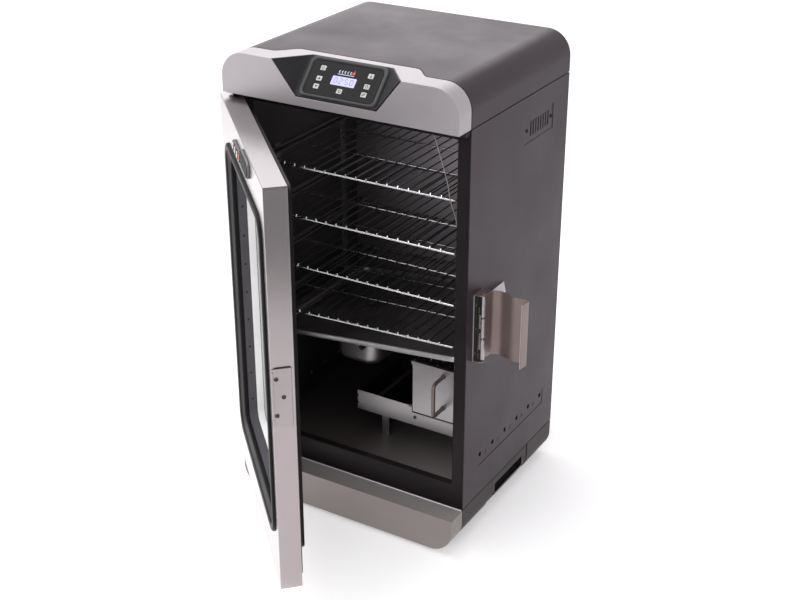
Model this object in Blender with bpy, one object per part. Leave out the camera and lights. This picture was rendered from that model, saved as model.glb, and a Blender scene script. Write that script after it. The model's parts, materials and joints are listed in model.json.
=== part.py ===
"""Electric cabinet smoker: insulated cabinet with a glazed door, four racks, drip tray, heater,
smoker box drawer, sprung control buttons and an over-centre side latch.

Units are metres in Blender; the dimensions below are millimetres. +Z is up and -Y is the front.
The rest pose has the door standing open and the latch lever swung out."""

import math

import bmesh
import bpy
from mathutils import Matrix, Vector

MM = 0.001
GAP = 0.3                      # clearance between touching solids

# Cabinet, measured from the centre of its footprint; FRONT is the plane the door closes against
WIDTH, DEPTH, TOP = 437.0, 353.2, 830.0
HALF = WIDTH / 2
FRONT, BACK = -DEPTH / 2, DEPTH / 2
FACE = FRONT - 39.2            # front plane of the bezel, door and base trim
SEAM_TOP, SEAM_BASE = 759.2, 73.9
BASE_BOTTOM, CORNER = 4.0, 43.0
SHEET = 1.2

# Cooking chamber
OPEN_X, FLOOR, CEILING = 197.0, 118.0, 741.0
CHAMBER_BACK = 150.0

# Door
DOOR_X0, DOOR_X1 = -218.5, 222.3
DOOR_Z0, DOOR_Z1 = 76.3, 752.4
DOOR_THICK = 34.8
DOOR_BACK = FACE + DOOR_THICK
HINGE = (-212.0, -192.2)
DOOR_OPEN = 45.08              # degrees open at rest
WINDOW = (-163.0, 202.0, 156.0, 696.0)

# Racks: height of the wire centre and tilt in degrees
RACKS = [(633.0, 0.0), (540.0, 0.0), (448.5, 0.0), (364.6, 2.5)]
RACK_X, RACK_Y0, RACK_Y1, RACK_WIRE = 188.0, -160.0, 146.0, 3.0
TRAY_Z, TRAY_TILT = 334.0, 5.4

# Latch
LATCH_PIVOT = (231.5, -146.0)
LATCH_Z0, LATCH_Z1 = 357.0, 475.0

# Control panel: corners of the sloping face, which runs from the front up to the top
PANEL_LOW, PANEL_BACK, PANEL_X, PANEL_TIP = 777.0, -165.0, 73.5, 116.0

# The whole part is shifted so that the world origin is under the middle of its rest-pose box
ORIGIN = Vector((-35.563, 166.458, 0.0))

for old in list(bpy.data.objects):
    bpy.data.objects.remove(old, do_unlink=True)
scene = bpy.context.scene


# ---------------------------------------------------------------- materials and helpers

def paint(name, colour, roughness, metallic=0.0, alpha=1.0):
    made = bpy.data.materials.new(name)
    made.use_nodes = True
    shader = made.node_tree.nodes["Principled BSDF"]
    shader.inputs["Base Color"].default_value = (*colour, 1.0)
    shader.inputs["Roughness"].default_value = roughness
    shader.inputs["Metallic"].default_value = metallic
    shader.inputs["Alpha"].default_value = alpha
    made.diffuse_color = (*colour, alpha)
    return made


def stainless(name):
    return paint(name, (0.62, 0.60, 0.60), 0.32, 1.0)


def grey_paint(name):
    return paint(name, (0.115, 0.105, 0.115), 0.45, 0.3)


def black(name):
    return paint(name, (0.02, 0.02, 0.022), 0.5)


def chrome(name):
    return paint(name, (0.8, 0.8, 0.82), 0.15, 1.0)


def empty(name, x, y, z, parent=None):
    made = bpy.data.objects.new(name, None)
    made.empty_display_size = 0.05
    scene.collection.objects.link(made)
    made.parent = parent
    made["at"] = (x, y, z)
    origin = Vector(parent["at"]) if parent else Vector((0, 0, 0))
    made.location = (Vector((x, y, z)) - origin) * MM
    return made


root = empty("smoker", 0, 0, 0)
root.location = ORIGIN * MM
door = empty("door_axis", *HINGE, 0, root)
door.rotation_euler.z = -math.radians(DOOR_OPEN)
lever = empty("latch_axis", *LATCH_PIVOT, 0, root)


def finish(name, bm, material, parent=root, cutter=False):
    """Turns a bmesh in cabinet millimetres into an object placed under its parent empty."""
    bmesh.ops.recalc_face_normals(bm, faces=bm.faces)
    home = Vector(parent["at"])
    for v in bm.verts:
        v.co = (v.co - home) * MM
    mesh = bpy.data.meshes.new(name)
    bm.to_mesh(mesh)
    bm.free()
    made = bpy.data.objects.new(name, mesh)
    scene.collection.objects.link(made)
    made.parent = parent
    if cutter:
        made.hide_render = True
        made.display_type = "WIRE"
    else:
        mesh.materials.append(material)
    return made


def boolean(target, tool, operation="DIFFERENCE"):
    step = target.modifiers.new(operation.lower(), "BOOLEAN")
    step.operation = operation
    step.solver = "EXACT"
    step.object = tool


def box_bm(x0, x1, y0, y1, z0, z1, bm=None):
    bm = bm or bmesh.new()
    size = Matrix.Diagonal((x1 - x0, y1 - y0, z1 - z0, 1))
    move = Matrix.Translation(((x0 + x1) / 2, (y0 + y1) / 2, (z0 + z1) / 2))
    bmesh.ops.create_cube(bm, size=1.0, matrix=move @ size)
    return bm


def box(name, x0, x1, y0, y1, z0, z1, material=None, parent=root, cutter=False):
    return finish(name, box_bm(x0, x1, y0, y1, z0, z1), material, parent, cutter)


AXES = {"x": (1, 2, 0), "y": (0, 2, 1), "z": (0, 1, 2)}


def prism_bm(outline, axis, low, high, bm=None):
    """Extrudes an outline along an axis; the outline's two numbers are the other two axes in order."""
    bm = bm or bmesh.new()
    first, second, third = AXES[axis]
    rings = []
    for level in (low, high):
        ring = []
        for a, b in outline:
            co = [0.0, 0.0, 0.0]
            co[first], co[second], co[third] = a, b, level
            ring.append(bm.verts.new(co))
        rings.append(ring)
    bm.faces.new(rings[0])
    bm.faces.new(rings[1])
    count = len(outline)
    for i in range(count):
        j = (i + 1) % count
        bm.faces.new((rings[0][i], rings[0][j], rings[1][j], rings[1][i]))
    return bm


def prism(name, outline, axis, low, high, material=None, parent=root, cutter=False):
    return finish(name, prism_bm(outline, axis, low, high), material, parent, cutter)


def ring_prism(name, outer, inner, axis, low, high, material, parent=root):
    """A plate with a hole: both outlines have the same number of points."""
    bm = bmesh.new()
    first, second, third = AXES[axis]
    loops = []
    for outline in (outer, inner):
        for level in (low, high):
            loop = []
            for a, b in outline:
                co = [0.0, 0.0, 0.0]
                co[first], co[second], co[third] = a, b, level
                loop.append(bm.verts.new(co))
            loops.append(loop)
    count = len(outer)
    for one, two in ((0, 1), (0, 2), (1, 3), (2, 3)):
        for i in range(count):
            j = (i + 1) % count
            bm.faces.new((loops[one][i], loops[one][j], loops[two][j], loops[two][i]))
    return finish(name, bm, material, parent)


def rounded(x0, x1, z0, z1, radius, steps=4):
    """A rectangle with rounded corners, anticlockwise from the lower right."""
    points = []
    for cx, cz, start in ((x1 - radius, z0 + radius, -90), (x1 - radius, z1 - radius, 0),
                          (x0 + radius, z1 - radius, 90), (x0 + radius, z0 + radius, 180)):
        for step in range(steps + 1):
            angle = math.radians(start + 90 * step / steps)
            points.append((cx + radius * math.cos(angle), cz + radius * math.sin(angle)))
    return points


def top_profile(half, z0, z1, radius, steps=8):
    """Cabinet section with rounded upper corners."""
    arc = [math.radians(90 * i / steps) for i in range(steps + 1)]
    right = [(half - radius + radius * math.cos(a), z1 - radius + radius * math.sin(a)) for a in arc]
    return [(half, z0)] + right + [(-x, z) for x, z in reversed(right)] + [(-half, z0)]


def base_profile(half, z0, z1, radius, steps=8):
    """Base section with rounded lower corners."""
    return [(x, z0 + z1 - z) for x, z in top_profile(half, z0, z1, radius, steps)]


def tube(name, points, radius, material, parent=root, sides=2):
    """A round bar along a path of straight runs, as a curve with filled ends."""
    home = Vector(parent["at"])
    curve = bpy.data.curves.new(name, "CURVE")
    curve.dimensions = "3D"
    curve.bevel_depth = radius * MM
    curve.bevel_resolution = sides - 1
    curve.use_fill_caps = True
    curve.resolution_u = 1
    spline = curve.splines.new("POLY")
    spline.points.add(len(points) - 1)
    for spot, co in zip(spline.points, points):
        spot.co = (*((Vector(co) - home) * MM), 1.0)
    made = bpy.data.objects.new(name, curve)
    scene.collection.objects.link(made)
    made.parent = parent
    curve.materials.append(material)
    return made


def round_path(points, radius, steps=3):
    """Rounds the corners of a path."""
    path = [Vector(points[0])]
    for before, here, after in zip(points, points[1:], points[2:]):
        here = Vector(here)
        into, out = (Vector(before) - here).normalized(), (Vector(after) - here).normalized()
        start, end = here + into * radius, here + out * radius
        for i in range(steps + 1):
            t = i / steps
            path.append(start.lerp(here, t).lerp(here.lerp(end, t), t))
    path.append(Vector(points[-1]))
    return path


def cylinder_bm(centre, radius, length, axis="z", sides=12, bm=None):
    bm = bm or bmesh.new()
    turn = {"z": Matrix(), "x": Matrix.Rotation(math.pi / 2, 4, "Y"),
            "y": Matrix.Rotation(math.pi / 2, 4, "X")}[axis]
    bmesh.ops.create_cone(bm, cap_ends=True, segments=sides, radius1=radius, radius2=radius,
                          depth=length, matrix=Matrix.Translation(centre) @ turn)
    return bm


def cylinder(name, centre, radius, length, axis="z", sides=12, material=None, parent=root,
             cutter=False):
    return finish(name, cylinder_bm(centre, radius, length, axis, sides), material, parent, cutter)


def hull(name, points, material=None, cutter=False):
    bm = bmesh.new()
    for point in points:
        bm.verts.new(point)
    made = bmesh.ops.convex_hull(bm, input=bm.verts)
    spare = [v for v in made["geom_interior"] + made["geom_unused"]
             if isinstance(v, bmesh.types.BMVert)]
    bmesh.ops.delete(bm, geom=spare, context="VERTS")
    return finish(name, bm, material, cutter=cutter)


def pan(name, x0, x1, y0, y1, z0, z1, wall, material, parent=root):
    """An open-topped sheet pan."""
    made = box(name, x0, x1, y0, y1, z0, z1, material, parent)
    boolean(made, box(name + "_cut", x0 + wall, x1 - wall, y0 + wall, y1 - wall, z0 + wall, z1 + 5,
                      parent=parent, cutter=True))
    return made


# ---------------------------------------------------------------- outer cabinet

STEP = [(108, -146.0), (117, -149.5), (132, -171.0), (142, FRONT)]


def footprint(shift):
    """Top view of the bezel: deeper in the middle, with an S-shaped step on each side."""
    right = [(x, y + shift) for x, y in STEP]
    return ([(HALF + 5, FRONT + shift)] + right[::-1] + [(-x, y) for x, y in right]
            + [(-HALF - 5, FRONT + shift), (-HALF - 5, FACE - 5), (HALF + 5, FACE - 5)])


shell = top_profile(HALF, SEAM_TOP + GAP, TOP, CORNER)
shell_in = top_profile(HALF - 2, SEAM_TOP + 2.3, TOP - 2, CORNER - 2)

fascia = prism("fascia", shell, "y", FACE, -140.0, stainless("fascia_steel"))
boolean(fascia, prism("fascia_plan", footprint(-0.15), "z", 700, 900, cutter=True), "INTERSECT")
boolean(fascia, prism("fascia_hollow", shell_in, "y", FACE + 2, -100.0, cutter=True))

lid = prism("lid", shell, "y", FACE, BACK, grey_paint("lid_paint"))
boolean(lid, prism("lid_plan", footprint(0.15), "z", 700, 900, cutter=True))
lid_in = top_profile(HALF - 2, SEAM_TOP - 20, TOP - 2, CORNER - 2)
boolean(lid, prism("lid_hollow", lid_in, "y", FACE - 10, BACK - 2, cutter=True))

SLOT_X = HALF - 3, HALF + 3
for side, name in ((-1, "side_panel_left"), (1, "side_panel_right")):
    outer, inner = side * HALF, side * (HALF - SHEET)
    panel = box(name, min(outer, inner), max(outer, inner), FRONT + 2 + GAP, BACK - SHEET - GAP,
                SEAM_BASE + GAP, SEAM_TOP - GAP, grey_paint(name + "_paint"))
    cuts = bmesh.new()
    low, high = sorted((side * SLOT_X[0], side * SLOT_X[1]))
    for i in range(6):
        cylinder_bm((side * HALF, -115.7 + i * 47.3, 154.0), 4.5, 8, "x", 8, cuts)
        if i < 5:
            cylinder_bm((side * HALF, -95.0 + i * 47.3, 147.0), 2.5, 8, "x", 6, cuts)
    if side > 0:
        for i in range(8):
            y = 31.0 + i * 9.3
            box_bm(low, high, y, y + 4.0, 688.0, 713.0, cuts)
    boolean(panel, finish(name + "_holes", cuts, None, cutter=True))

back = box("back_panel", -HALF, HALF, BACK - SHEET, BACK, SEAM_BASE + GAP, SEAM_TOP - GAP,
           grey_paint("back_paint"))
boolean(back, box("inlet_hole", 126, 154, BACK - 10, BACK + 10, 98, 118, cutter=True))
inlet = box("power_inlet", 118, 162, BACK + GAP, BACK + 9, 90, 126, black("inlet_plastic"))
boolean(inlet, box("inlet_socket", 127, 153, BACK + 3, BACK + 20, 99, 117, cutter=True))

opening = [(-OPEN_X, FLOOR + 1), (OPEN_X, FLOOR + 1), (OPEN_X, CEILING), (-OPEN_X, CEILING)]
rim = [(-HALF, SEAM_BASE + GAP), (HALF, SEAM_BASE + GAP), (HALF, SEAM_TOP - GAP),
       (-HALF, SEAM_TOP - GAP)]
ring_prism("front_frame", rim, opening, "y", FRONT, FRONT + 2, black("frame_paint"))

# ---------------------------------------------------------------- chamber and insulation

IN_FRONT, IN_BACK = FRONT + 2 + GAP, BACK - SHEET - GAP
for side, word in ((-1, "left"), (1, "right")):
    low, high = sorted((side * OPEN_X, side * (OPEN_X + 1)))
    wall = box("liner_" + word, low, high, IN_FRONT, CHAMBER_BACK, FLOOR + GAP, CEILING - GAP,
               black("liner_%s_enamel" % word))
    low, high = sorted((side * (OPEN_X + 1 + GAP), side * (HALF - SHEET - GAP)))
    wool = box("insulation_" + word, low, high, IN_FRONT, IN_BACK, 77, CEILING,
               paint("wool_" + word, (0.75, 0.68, 0.5), 0.95))
    ducts = bmesh.new()
    for i in range(6):
        cylinder_bm((side * 208, -115.7 + i * 47.3, 154.0), 4.5, 30, "x", 8, ducts)
    duct = finish("air_ducts_" + word, ducts, None, cutter=True)
    boolean(wall, duct)
    boolean(wool, duct)

box("liner_back", 0.3 - OPEN_X, OPEN_X - 0.3, CHAMBER_BACK + GAP, CHAMBER_BACK + 1.3, FLOOR + GAP,
    CEILING - GAP, black("liner_back_enamel"))
box("liner_top", -OPEN_X - 1, OPEN_X + 1, IN_FRONT, CHAMBER_BACK + 1.3, CEILING, CEILING + 1,
    black("liner_top_enamel"))
plate = box("floor_plate", -OPEN_X - 1, OPEN_X + 1, IN_FRONT, CHAMBER_BACK + 1.3, FLOOR - SHEET,
            FLOOR, paint("floor_enamel", (0.03, 0.028, 0.028), 0.35))
cover = box("bottom_cover", 4 - HALF, HALF - 4, FRONT + 3, BACK - 4, SEAM_BASE + GAP,
            SEAM_BASE + 1.5, black("cover_paint"))
drain = cylinder("drain_cut", (0, 110, 95), 9, 80, cutter=True)
boolean(plate, drain)
boolean(cover, drain)
box("insulation_back", 0.3 - OPEN_X - 1, OPEN_X + 1 - 0.3, CHAMBER_BACK + 1.6, IN_BACK, 77, CEILING,
    paint("wool_back", (0.75, 0.68, 0.5), 0.95))
box("insulation_top", GAP + SHEET - HALF, HALF - SHEET - GAP, IN_FRONT, IN_BACK, CEILING + 1.3, 757,
    paint("wool_top", (0.75, 0.68, 0.5), 0.95))

# ---------------------------------------------------------------- base

trim = prism("base_trim", base_profile(HALF, BASE_BOTTOM, 72.0, CORNER), "y", FACE, FRONT - GAP,
             stainless("trim_steel"))
boolean(trim, prism("trim_hollow", base_profile(HALF - 2, BASE_BOTTOM + 2, 70.0, CORNER - 2), "y",
                    FACE + 2, FRONT + 5, cutter=True))

arc = [math.radians(-90 * i / 8) for i in range(9)]
for side, word in ((-1, "left"), (1, "right")):
    cx, cz = HALF - GAP - CORNER, BASE_BOTTOM + CORNER
    outer = [(cx + CORNER * math.cos(a), cz + CORNER * math.sin(a)) for a in arc]
    inner = [(cx + (CORNER - 3) * math.cos(a), cz + (CORNER - 3) * math.sin(a)) for a in arc]
    section = ([(HALF - GAP, SEAM_BASE - GAP)] + outer + [(135, BASE_BOTTOM), (135, BASE_BOTTOM + 3)]
               + inner[::-1] + [(HALF - GAP - 3, SEAM_BASE - GAP)])
    skirt = prism("base_" + word, [(side * x, z) for x, z in section], "y", FRONT + GAP, BACK - GAP,
                  black("base_%s_plastic" % word))
    low, high = sorted((side * 190, side * 230))
    boolean(skirt, box("handhold_" + word, low, high, -51, 57, 37, 56, cutter=True))
    pads = bmesh.new()
    for y in (-140, 140):
        cylinder_bm((side * 155, y, 2.75), 12, 5.5, "z", 12, pads)
    boolean(skirt, finish("foot_pads_" + word, pads, None, cutter=True), "UNION")

rear = prism("base_back", base_profile(HALF - 3.6, BASE_BOTTOM + 3.3, SEAM_BASE - GAP, CORNER - 3.3),
             "y", BACK - 3.3, BACK - GAP, black("base_back_plastic"))
boolean(rear, box("tray_slot", -76.5, 76.5, BACK - 10, BACK + 10, 18, 58, cutter=True))

# Grease tray, which slides out to the rear on two rails under the bottom cover
rails = bmesh.new()
for side in (-1, 1):
    low, high = sorted((side * 77.0, side * 79.0))
    box_bm(low, high, 55, 170, 50, SEAM_BASE + 1, rails)
    low, high = sorted((side * 72.0, side * 78.0))
    box_bm(low, high, 55, 170, 50, 52, rails)
rail_cut = finish("tray_rails", rails, None, cutter=True)
cutter_union = cover.modifiers.new("rails", "BOOLEAN")
cutter_union.operation, cutter_union.solver = "UNION", "EXACT"
cutter_union.use_self = True
cutter_union.object = rail_cut

grease = empty("grease_tray_slide", 0, BACK, 40, root)
drawer = box("grease_tray", -70, 70, 60, BACK + 0.5, 22, 55, stainless("grease_tray_steel"), grease)
boolean(drawer, box("grease_lip", -75.5, 75.5, 60, BACK - 1, 53, 55, parent=grease, cutter=True),
        "UNION")
boolean(drawer, box("grease_front", -75, 75, BACK + 0.2, BACK + 2.5, 19, 57, parent=grease,
                    cutter=True), "UNION")
boolean(drawer, box("grease_hollow", -68.8, 68.8, 61.2, BACK - 0.8, 23.2, 90, parent=grease,
                    cutter=True))

# ---------------------------------------------------------------- inside the chamber


def lattice(name, xs, ys, z, wire, material):
    """A wire rack as one flat grid: every bar is square in section."""
    bm = bmesh.new()
    grid_x = [x + s * wire / 2 for x in xs for s in (-1, 1)]
    grid_y = [y + s * wire / 2 for y in ys for s in (-1, 1)]
    spots = {}

    def spot(i, j, level):
        if (i, j, level) not in spots:
            height = z + (wire / 2 if level else -wire / 2)
            spots[i, j, level] = bm.verts.new((grid_x[i], grid_y[j], height))
        return spots[i, j, level]

    def solid(i, j):
        inside = 0 <= i < len(grid_x) - 1 and 0 <= j < len(grid_y) - 1
        return inside and (i % 2 == 0 or j % 2 == 0)

    for i in range(len(grid_x) - 1):
        for j in range(len(grid_y) - 1):
            if not solid(i, j):
                continue
            corners = ((i, j), (i + 1, j), (i + 1, j + 1), (i, j + 1))
            for level in (0, 1):
                bm.faces.new([spot(a, b, level) for a, b in corners])
            sides = ((i, j - 1), (i + 1, j), (i, j + 1), (i - 1, j))
            for k, (a, b) in enumerate(sides):
                if not solid(a, b):
                    one, two = corners[k], corners[(k + 1) % 4]
                    bm.faces.new((spot(*one, 0), spot(*two, 0), spot(*two, 1), spot(*one, 1)))
    return finish(name, bm, material)


ROD_COUNT = 17
rods = [(2 * i / (ROD_COUNT - 1) - 1) * (RACK_X - RACK_WIRE / 2) for i in range(ROD_COUNT)]
crosses = [RACK_Y0, RACK_Y0 + 102, RACK_Y0 + 204, RACK_Y1]


def tilt(made, z, degrees):
    """Turns an object about a front-to-back line through the cabinet's centre at height z."""
    angle = math.radians(degrees)
    spot = Vector((0, 0, z * MM))
    made.rotation_euler.y = -angle
    made.location = spot - Matrix.Rotation(-angle, 3, "Y") @ spot


for number, (z, degrees) in enumerate(RACKS, 1):
    rack = lattice("rack_%d" % number, rods, crosses, z, RACK_WIRE, chrome("rack_%d_chrome" % number))
    tilt(rack, z, degrees)

# Ledges on each wall, joined by two uprights, carry the racks and the drip tray
for side, word in ((-1, "left"), (1, "right")):
    bm = bmesh.new()
    levels = []
    for z, degrees in RACKS:
        levels.append(z + side * 190 * math.tan(math.radians(degrees)) - 3.2)
    levels.append(TRAY_Z + side * 185.5 * math.tan(math.radians(TRAY_TILT)) - 0.5)
    guide = box("rack_guide_" + word, *sorted((side * 196.6, side * 195.0)), -110, -95,
                min(levels) - 4, max(levels) + 12, paint("guide_%s_steel" % word, (0.3, 0.3, 0.3),
                                                         0.4, 1.0))
    box_bm(*sorted((side * 196.6, side * 195.0)), 95, 110, min(levels) - 4, max(levels) + 12, bm)
    for z in levels:
        box_bm(*sorted((side * 196.2, side * 184.0)), -140, 140, z - 2, z, bm)
        box_bm(*sorted((side * 196.4, side * 194.6)), -138, 138, z - 1.6, z + 5, bm)
    ledges = finish("ledges_" + word, bm, None, cutter=True)
    step = guide.modifiers.new("ledges", "BOOLEAN")
    step.operation, step.solver, step.use_self, step.object = "UNION", "EXACT", True, ledges

tray = box("drip_tray", -180, 180, -154, 143, TRAY_Z - 9, TRAY_Z + 1, stainless("drip_tray_steel"))
tray_cuts = [box("tray_flange", -187, 187, -156, 145, TRAY_Z + 0.5, TRAY_Z + 2, cutter=True),
             box("tray_hollow", -178.5, 178.5, -152.5, 141.5, TRAY_Z - 7.5, TRAY_Z + 9, cutter=True),
             cylinder("tray_drain", (-74, 0, TRAY_Z - 9), 9, 12, cutter=True)]
for cut, operation in zip(tray_cuts, ("UNION", "DIFFERENCE", "DIFFERENCE")):
    boolean(tray, cut, operation)
for made in [tray] + tray_cuts:
    tilt(made, TRAY_Z, TRAY_TILT)

water = pan("water_pan", -122, -26, -58, 62, 224, 303, 1.5, stainless("water_pan_steel"))

HEAT_X0, HEAT_X1, HEAT_Y0, HEAT_Y1, HEAT_Z0, HEAT_Z1 = -46.0, 190.0, -97.5, 62.0, 158.0, 197.0
CHIP_X0, CHIP_X1, CHIP_Y0, CHIP_Y1, CHIP_Z0, CHIP_Z1 = 72.0, 187.0, -97.0, 55.0, 186.5, 288.0
heater_tray = pan("heater_tray", HEAT_X0, HEAT_X1, HEAT_Y0, HEAT_Y1, HEAT_Z0, HEAT_Z1, 1.5,
                  stainless("heater_tray_steel"))
boolean(heater_tray, box("chip_notch", 71, HEAT_X1 + 5, HEAT_Y0 - 5, HEAT_Y1 + 5, 184, 220,
                         cutter=True))
legs = bmesh.new()
for x in (14, 172):
    for y in (-90.5, 50):
        box_bm(x - 6.5, x + 6.5, y - 5, y + 5, FLOOR + GAP, HEAT_Z0 + 1, legs)
boolean(heater_tray, finish("heater_legs", legs, None, cutter=True), "UNION")

loop = [(-20, 149, 171), (-20, -75, 171), (160, -75, 171), (160, 40, 171), (30, 40, 171),
        (30, 149, 171)]
boolean(heater_tray, box("element_notch", -28, 38, 55, 70, 163, 210, cutter=True))
tube("heating_element", round_path(loop, 18), 4.0, paint("element_metal", (0.12, 0.11, 0.1), 0.5, 1.0))

slide = empty("smoker_box_slide", 130, CHIP_Y0, 230, root)
chip = pan("smoker_box", CHIP_X0, CHIP_X1, CHIP_Y0, CHIP_Y1, CHIP_Z0, CHIP_Z1, 1.2,
           stainless("smoker_box_steel"), slide)
grip = [(134, CHIP_Y0 - GAP, 274), (134, CHIP_Y0 - 36, 274), (134, CHIP_Y0 - 36, 211),
        (134, CHIP_Y0 - GAP, 211)]
tube("smoker_box_handle", round_path(grip, 8), 3.4, chrome("handle_chrome"), slide)

# Meat probe and its lead
lead = [(138.5, -150, 739), (148, -158, 722), (172, -165.5, 665), (180, -168, 634), (192, -168, 598),
        (193, -168, 545), (193.4, -168, 476)]
tube("probe_lead", lead, 1.2, paint("lead_braid", (0.45, 0.44, 0.43), 0.45, 0.6))
tube("meat_probe", [(193.4, -168, 474), (193.4, -168, 362)], 2.0, chrome("probe_steel"))

# ---------------------------------------------------------------- controls


def panel_corners(grow):
    """Corners of the sloping control panel: left tip, back and front points, then the right ones."""
    tip, back_y, low = PANEL_TIP + 2 * grow, PANEL_BACK + 1.4 * grow, PANEL_LOW - 1.4 * grow
    half = PANEL_X + grow
    return [(s * x, y, z) for s in (-1, 1)
            for x, y, z in ((tip, FACE, TOP), (half, back_y, TOP), (half, FACE, low))]


def outward(points, reach=0.25):
    """The same planes, with the tips pushed out past the surface so that a cut goes right through."""
    moved = []
    for a, b, c in (points[:3], points[3:]):
        a, b, c = Vector(a), Vector(b), Vector(c)
        moved += [a + (a - (b + c) / 2) * reach, b + (b - c) * reach, c + (c - b) * reach]
    return moved


boolean(fascia, hull("panel_pocket", outward(panel_corners(3.3)), cutter=True))
housing = hull("control_housing", panel_corners(3.0), black("housing_plastic"))
boolean(housing, hull("panel_recess", outward(panel_corners(0.0)), cutter=True))

slope = Vector((0, PANEL_BACK - FACE, TOP - PANEL_LOW)).normalized()
normal = Vector((0, -slope.z, slope.y))
PANEL_BASE = Vector((0, FACE, PANEL_LOW))
panel_turn = Matrix(((1, 0, 0), (0, slope.y, slope.z), (0, normal.y, normal.z))).transposed()


def on_panel(name, bm, material=None, lift=0.0, centre=(0, 0), cutter=False):
    """Places a bmesh whose XY is the panel's face, with its origin at a point up the slope."""
    bmesh.ops.recalc_face_normals(bm, faces=bm.faces)
    bmesh.ops.scale(bm, vec=(MM, MM, MM), verts=bm.verts)
    mesh = bpy.data.meshes.new(name)
    bm.to_mesh(mesh)
    bm.free()
    made = bpy.data.objects.new(name, mesh)
    scene.collection.objects.link(made)
    made.parent = root
    spot = PANEL_BASE + Vector((centre[0], 0, 0)) + slope * centre[1] + normal * lift
    made.location = spot * MM
    made.rotation_euler = panel_turn.to_euler()
    if cutter:
        made.hide_render = True
        made.display_type = "WIRE"
    else:
        mesh.materials.append(material)
    return made


SLOPE_LENGTH = math.hypot(PANEL_BACK - FACE, TOP - PANEL_LOW)
BUTTON_W, BUTTON_H, BUTTON_TRAVEL = 10.0, 8.5, 0.8
BUTTONS = {"button_power": (-44, 53.5), "button_temp_up": (-44, 35), "button_temp_down": (-44, 21),
           "button_set": (0, 19), "button_light": (44, 53), "button_timer": (44, 34.5),
           "button_probe": (44, 20.5)}
pocket = box_bm(-60, 60, 9, 64, -2.0, 5.0)
boolean(housing, on_panel("button_pocket", pocket, cutter=True))
face = on_panel("control_face", prism_bm(rounded(-64, 64, 7, 66, 7), "z", 0, 1.2),
                paint("face_black", (0.012, 0.012, 0.014), 0.18), lift=0.3)
holes = bmesh.new()
for x, v in BUTTONS.values():
    box_bm(x - BUTTON_W / 2 - 0.4, x + BUTTON_W / 2 + 0.4, v - BUTTON_H / 2 - 0.4,
           v + BUTTON_H / 2 + 0.4, -3, 5, holes)
box_bm(-22.5, 22.5, 28.2, 44.8, -3, 5, holes)
boolean(face, on_panel("face_holes", holes, cutter=True))
on_panel("display", prism_bm([(-22, -8), (22, -8), (22, 8), (-22, 8)], "z", -1.0, 0.9),
         paint("display_glass", (0.45, 0.45, 0.85), 0.2), lift=0.3, centre=(0, 36.5))
for name, (x, v) in BUTTONS.items():
    half_w, half_h = BUTTON_W / 2, BUTTON_H / 2
    cap = prism_bm([(-half_w, -half_h), (half_w, -half_h), (half_w, half_h), (-half_w, half_h)],
                   "z", -0.9, 1.0)
    on_panel(name, cap, paint(name + "_silver", (0.55, 0.55, 0.55), 0.35, 0.6), 0.8, (x, v))
on_panel("circuit_board", box_bm(-55, 55, 10, 62, -13, -11.4),
         paint("board_green", (0.03, 0.2, 0.07), 0.5))

# ---------------------------------------------------------------- latch

latch_base = box("latch_base", HALF + GAP, HALF + 1.8, -156, -127, LATCH_Z0 - 2, LATCH_Z1 + 2,
                 stainless("latch_base_steel"))
px, py = LATCH_PIVOT
bits = bmesh.new()
for z in (LATCH_Z0 - 2, LATCH_Z1 + 0.4):
    box_bm(HALF + 1, HALF + 17.5, -155, -137, z, z + 1.6, bits)
cylinder_bm((px, py, (LATCH_Z0 + LATCH_Z1) / 2), 1.8, LATCH_Z1 - LATCH_Z0 + 3, "z", 8, bits)
step = latch_base.modifiers.new("ears", "BOOLEAN")
step.operation, step.solver, step.use_self = "UNION", "EXACT", True
step.object = finish("latch_ears", bits, None, cutter=True)

LEVER = [(231.0, -142.5), (234.5, -120), (250.5, -116.5), (274.5, -126), (303.5, -125),
         (300.5, -146)]


def sheet_outline(points, thick):
    """Outline of a folded sheet that follows a path."""
    left, right = [], []
    count = len(points)
    for i, (x, y) in enumerate(points):
        here = Vector((x, y))
        before = Vector(points[max(i - 1, 0)])
        after = Vector(points[min(i + 1, count - 1)])
        one = (here - before).normalized() if i else (after - here).normalized()
        two = (after - here).normalized() if i < count - 1 else one
        across = Vector((-(one + two).y, (one + two).x)).normalized()
        reach = thick / 2 / max(0.35, across.dot(Vector((-one.y, one.x))))
        left.append(tuple(here + across * reach))
        right.append(tuple(here - across * reach))
    return left + right[::-1]


handle = prism("latch_lever", sheet_outline(LEVER, 1.6), "z", LATCH_Z0 + 1, LATCH_Z1 - 1,
               stainless("lever_steel"), lever)
boolean(handle, cylinder("knuckle", (px, py, (LATCH_Z0 + LATCH_Z1) / 2), 4.0,
                         LATCH_Z1 - LATCH_Z0 - 3, sides=12, parent=lever, cutter=True), "UNION")
boolean(handle, cylinder("knuckle_bore", (px, py, 416), 2.3, 200, sides=12, parent=lever,
                         cutter=True))

# ---------------------------------------------------------------- door

wx0, wx1, wz0, wz1 = WINDOW
hole_in = 16.0                 # the skin's hole is this much inside the bezel's outer edge


def window_outline(inset, radius):
    return rounded(wx0 + inset, wx1 - inset, wz0 + inset, wz1 - inset, radius)


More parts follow.
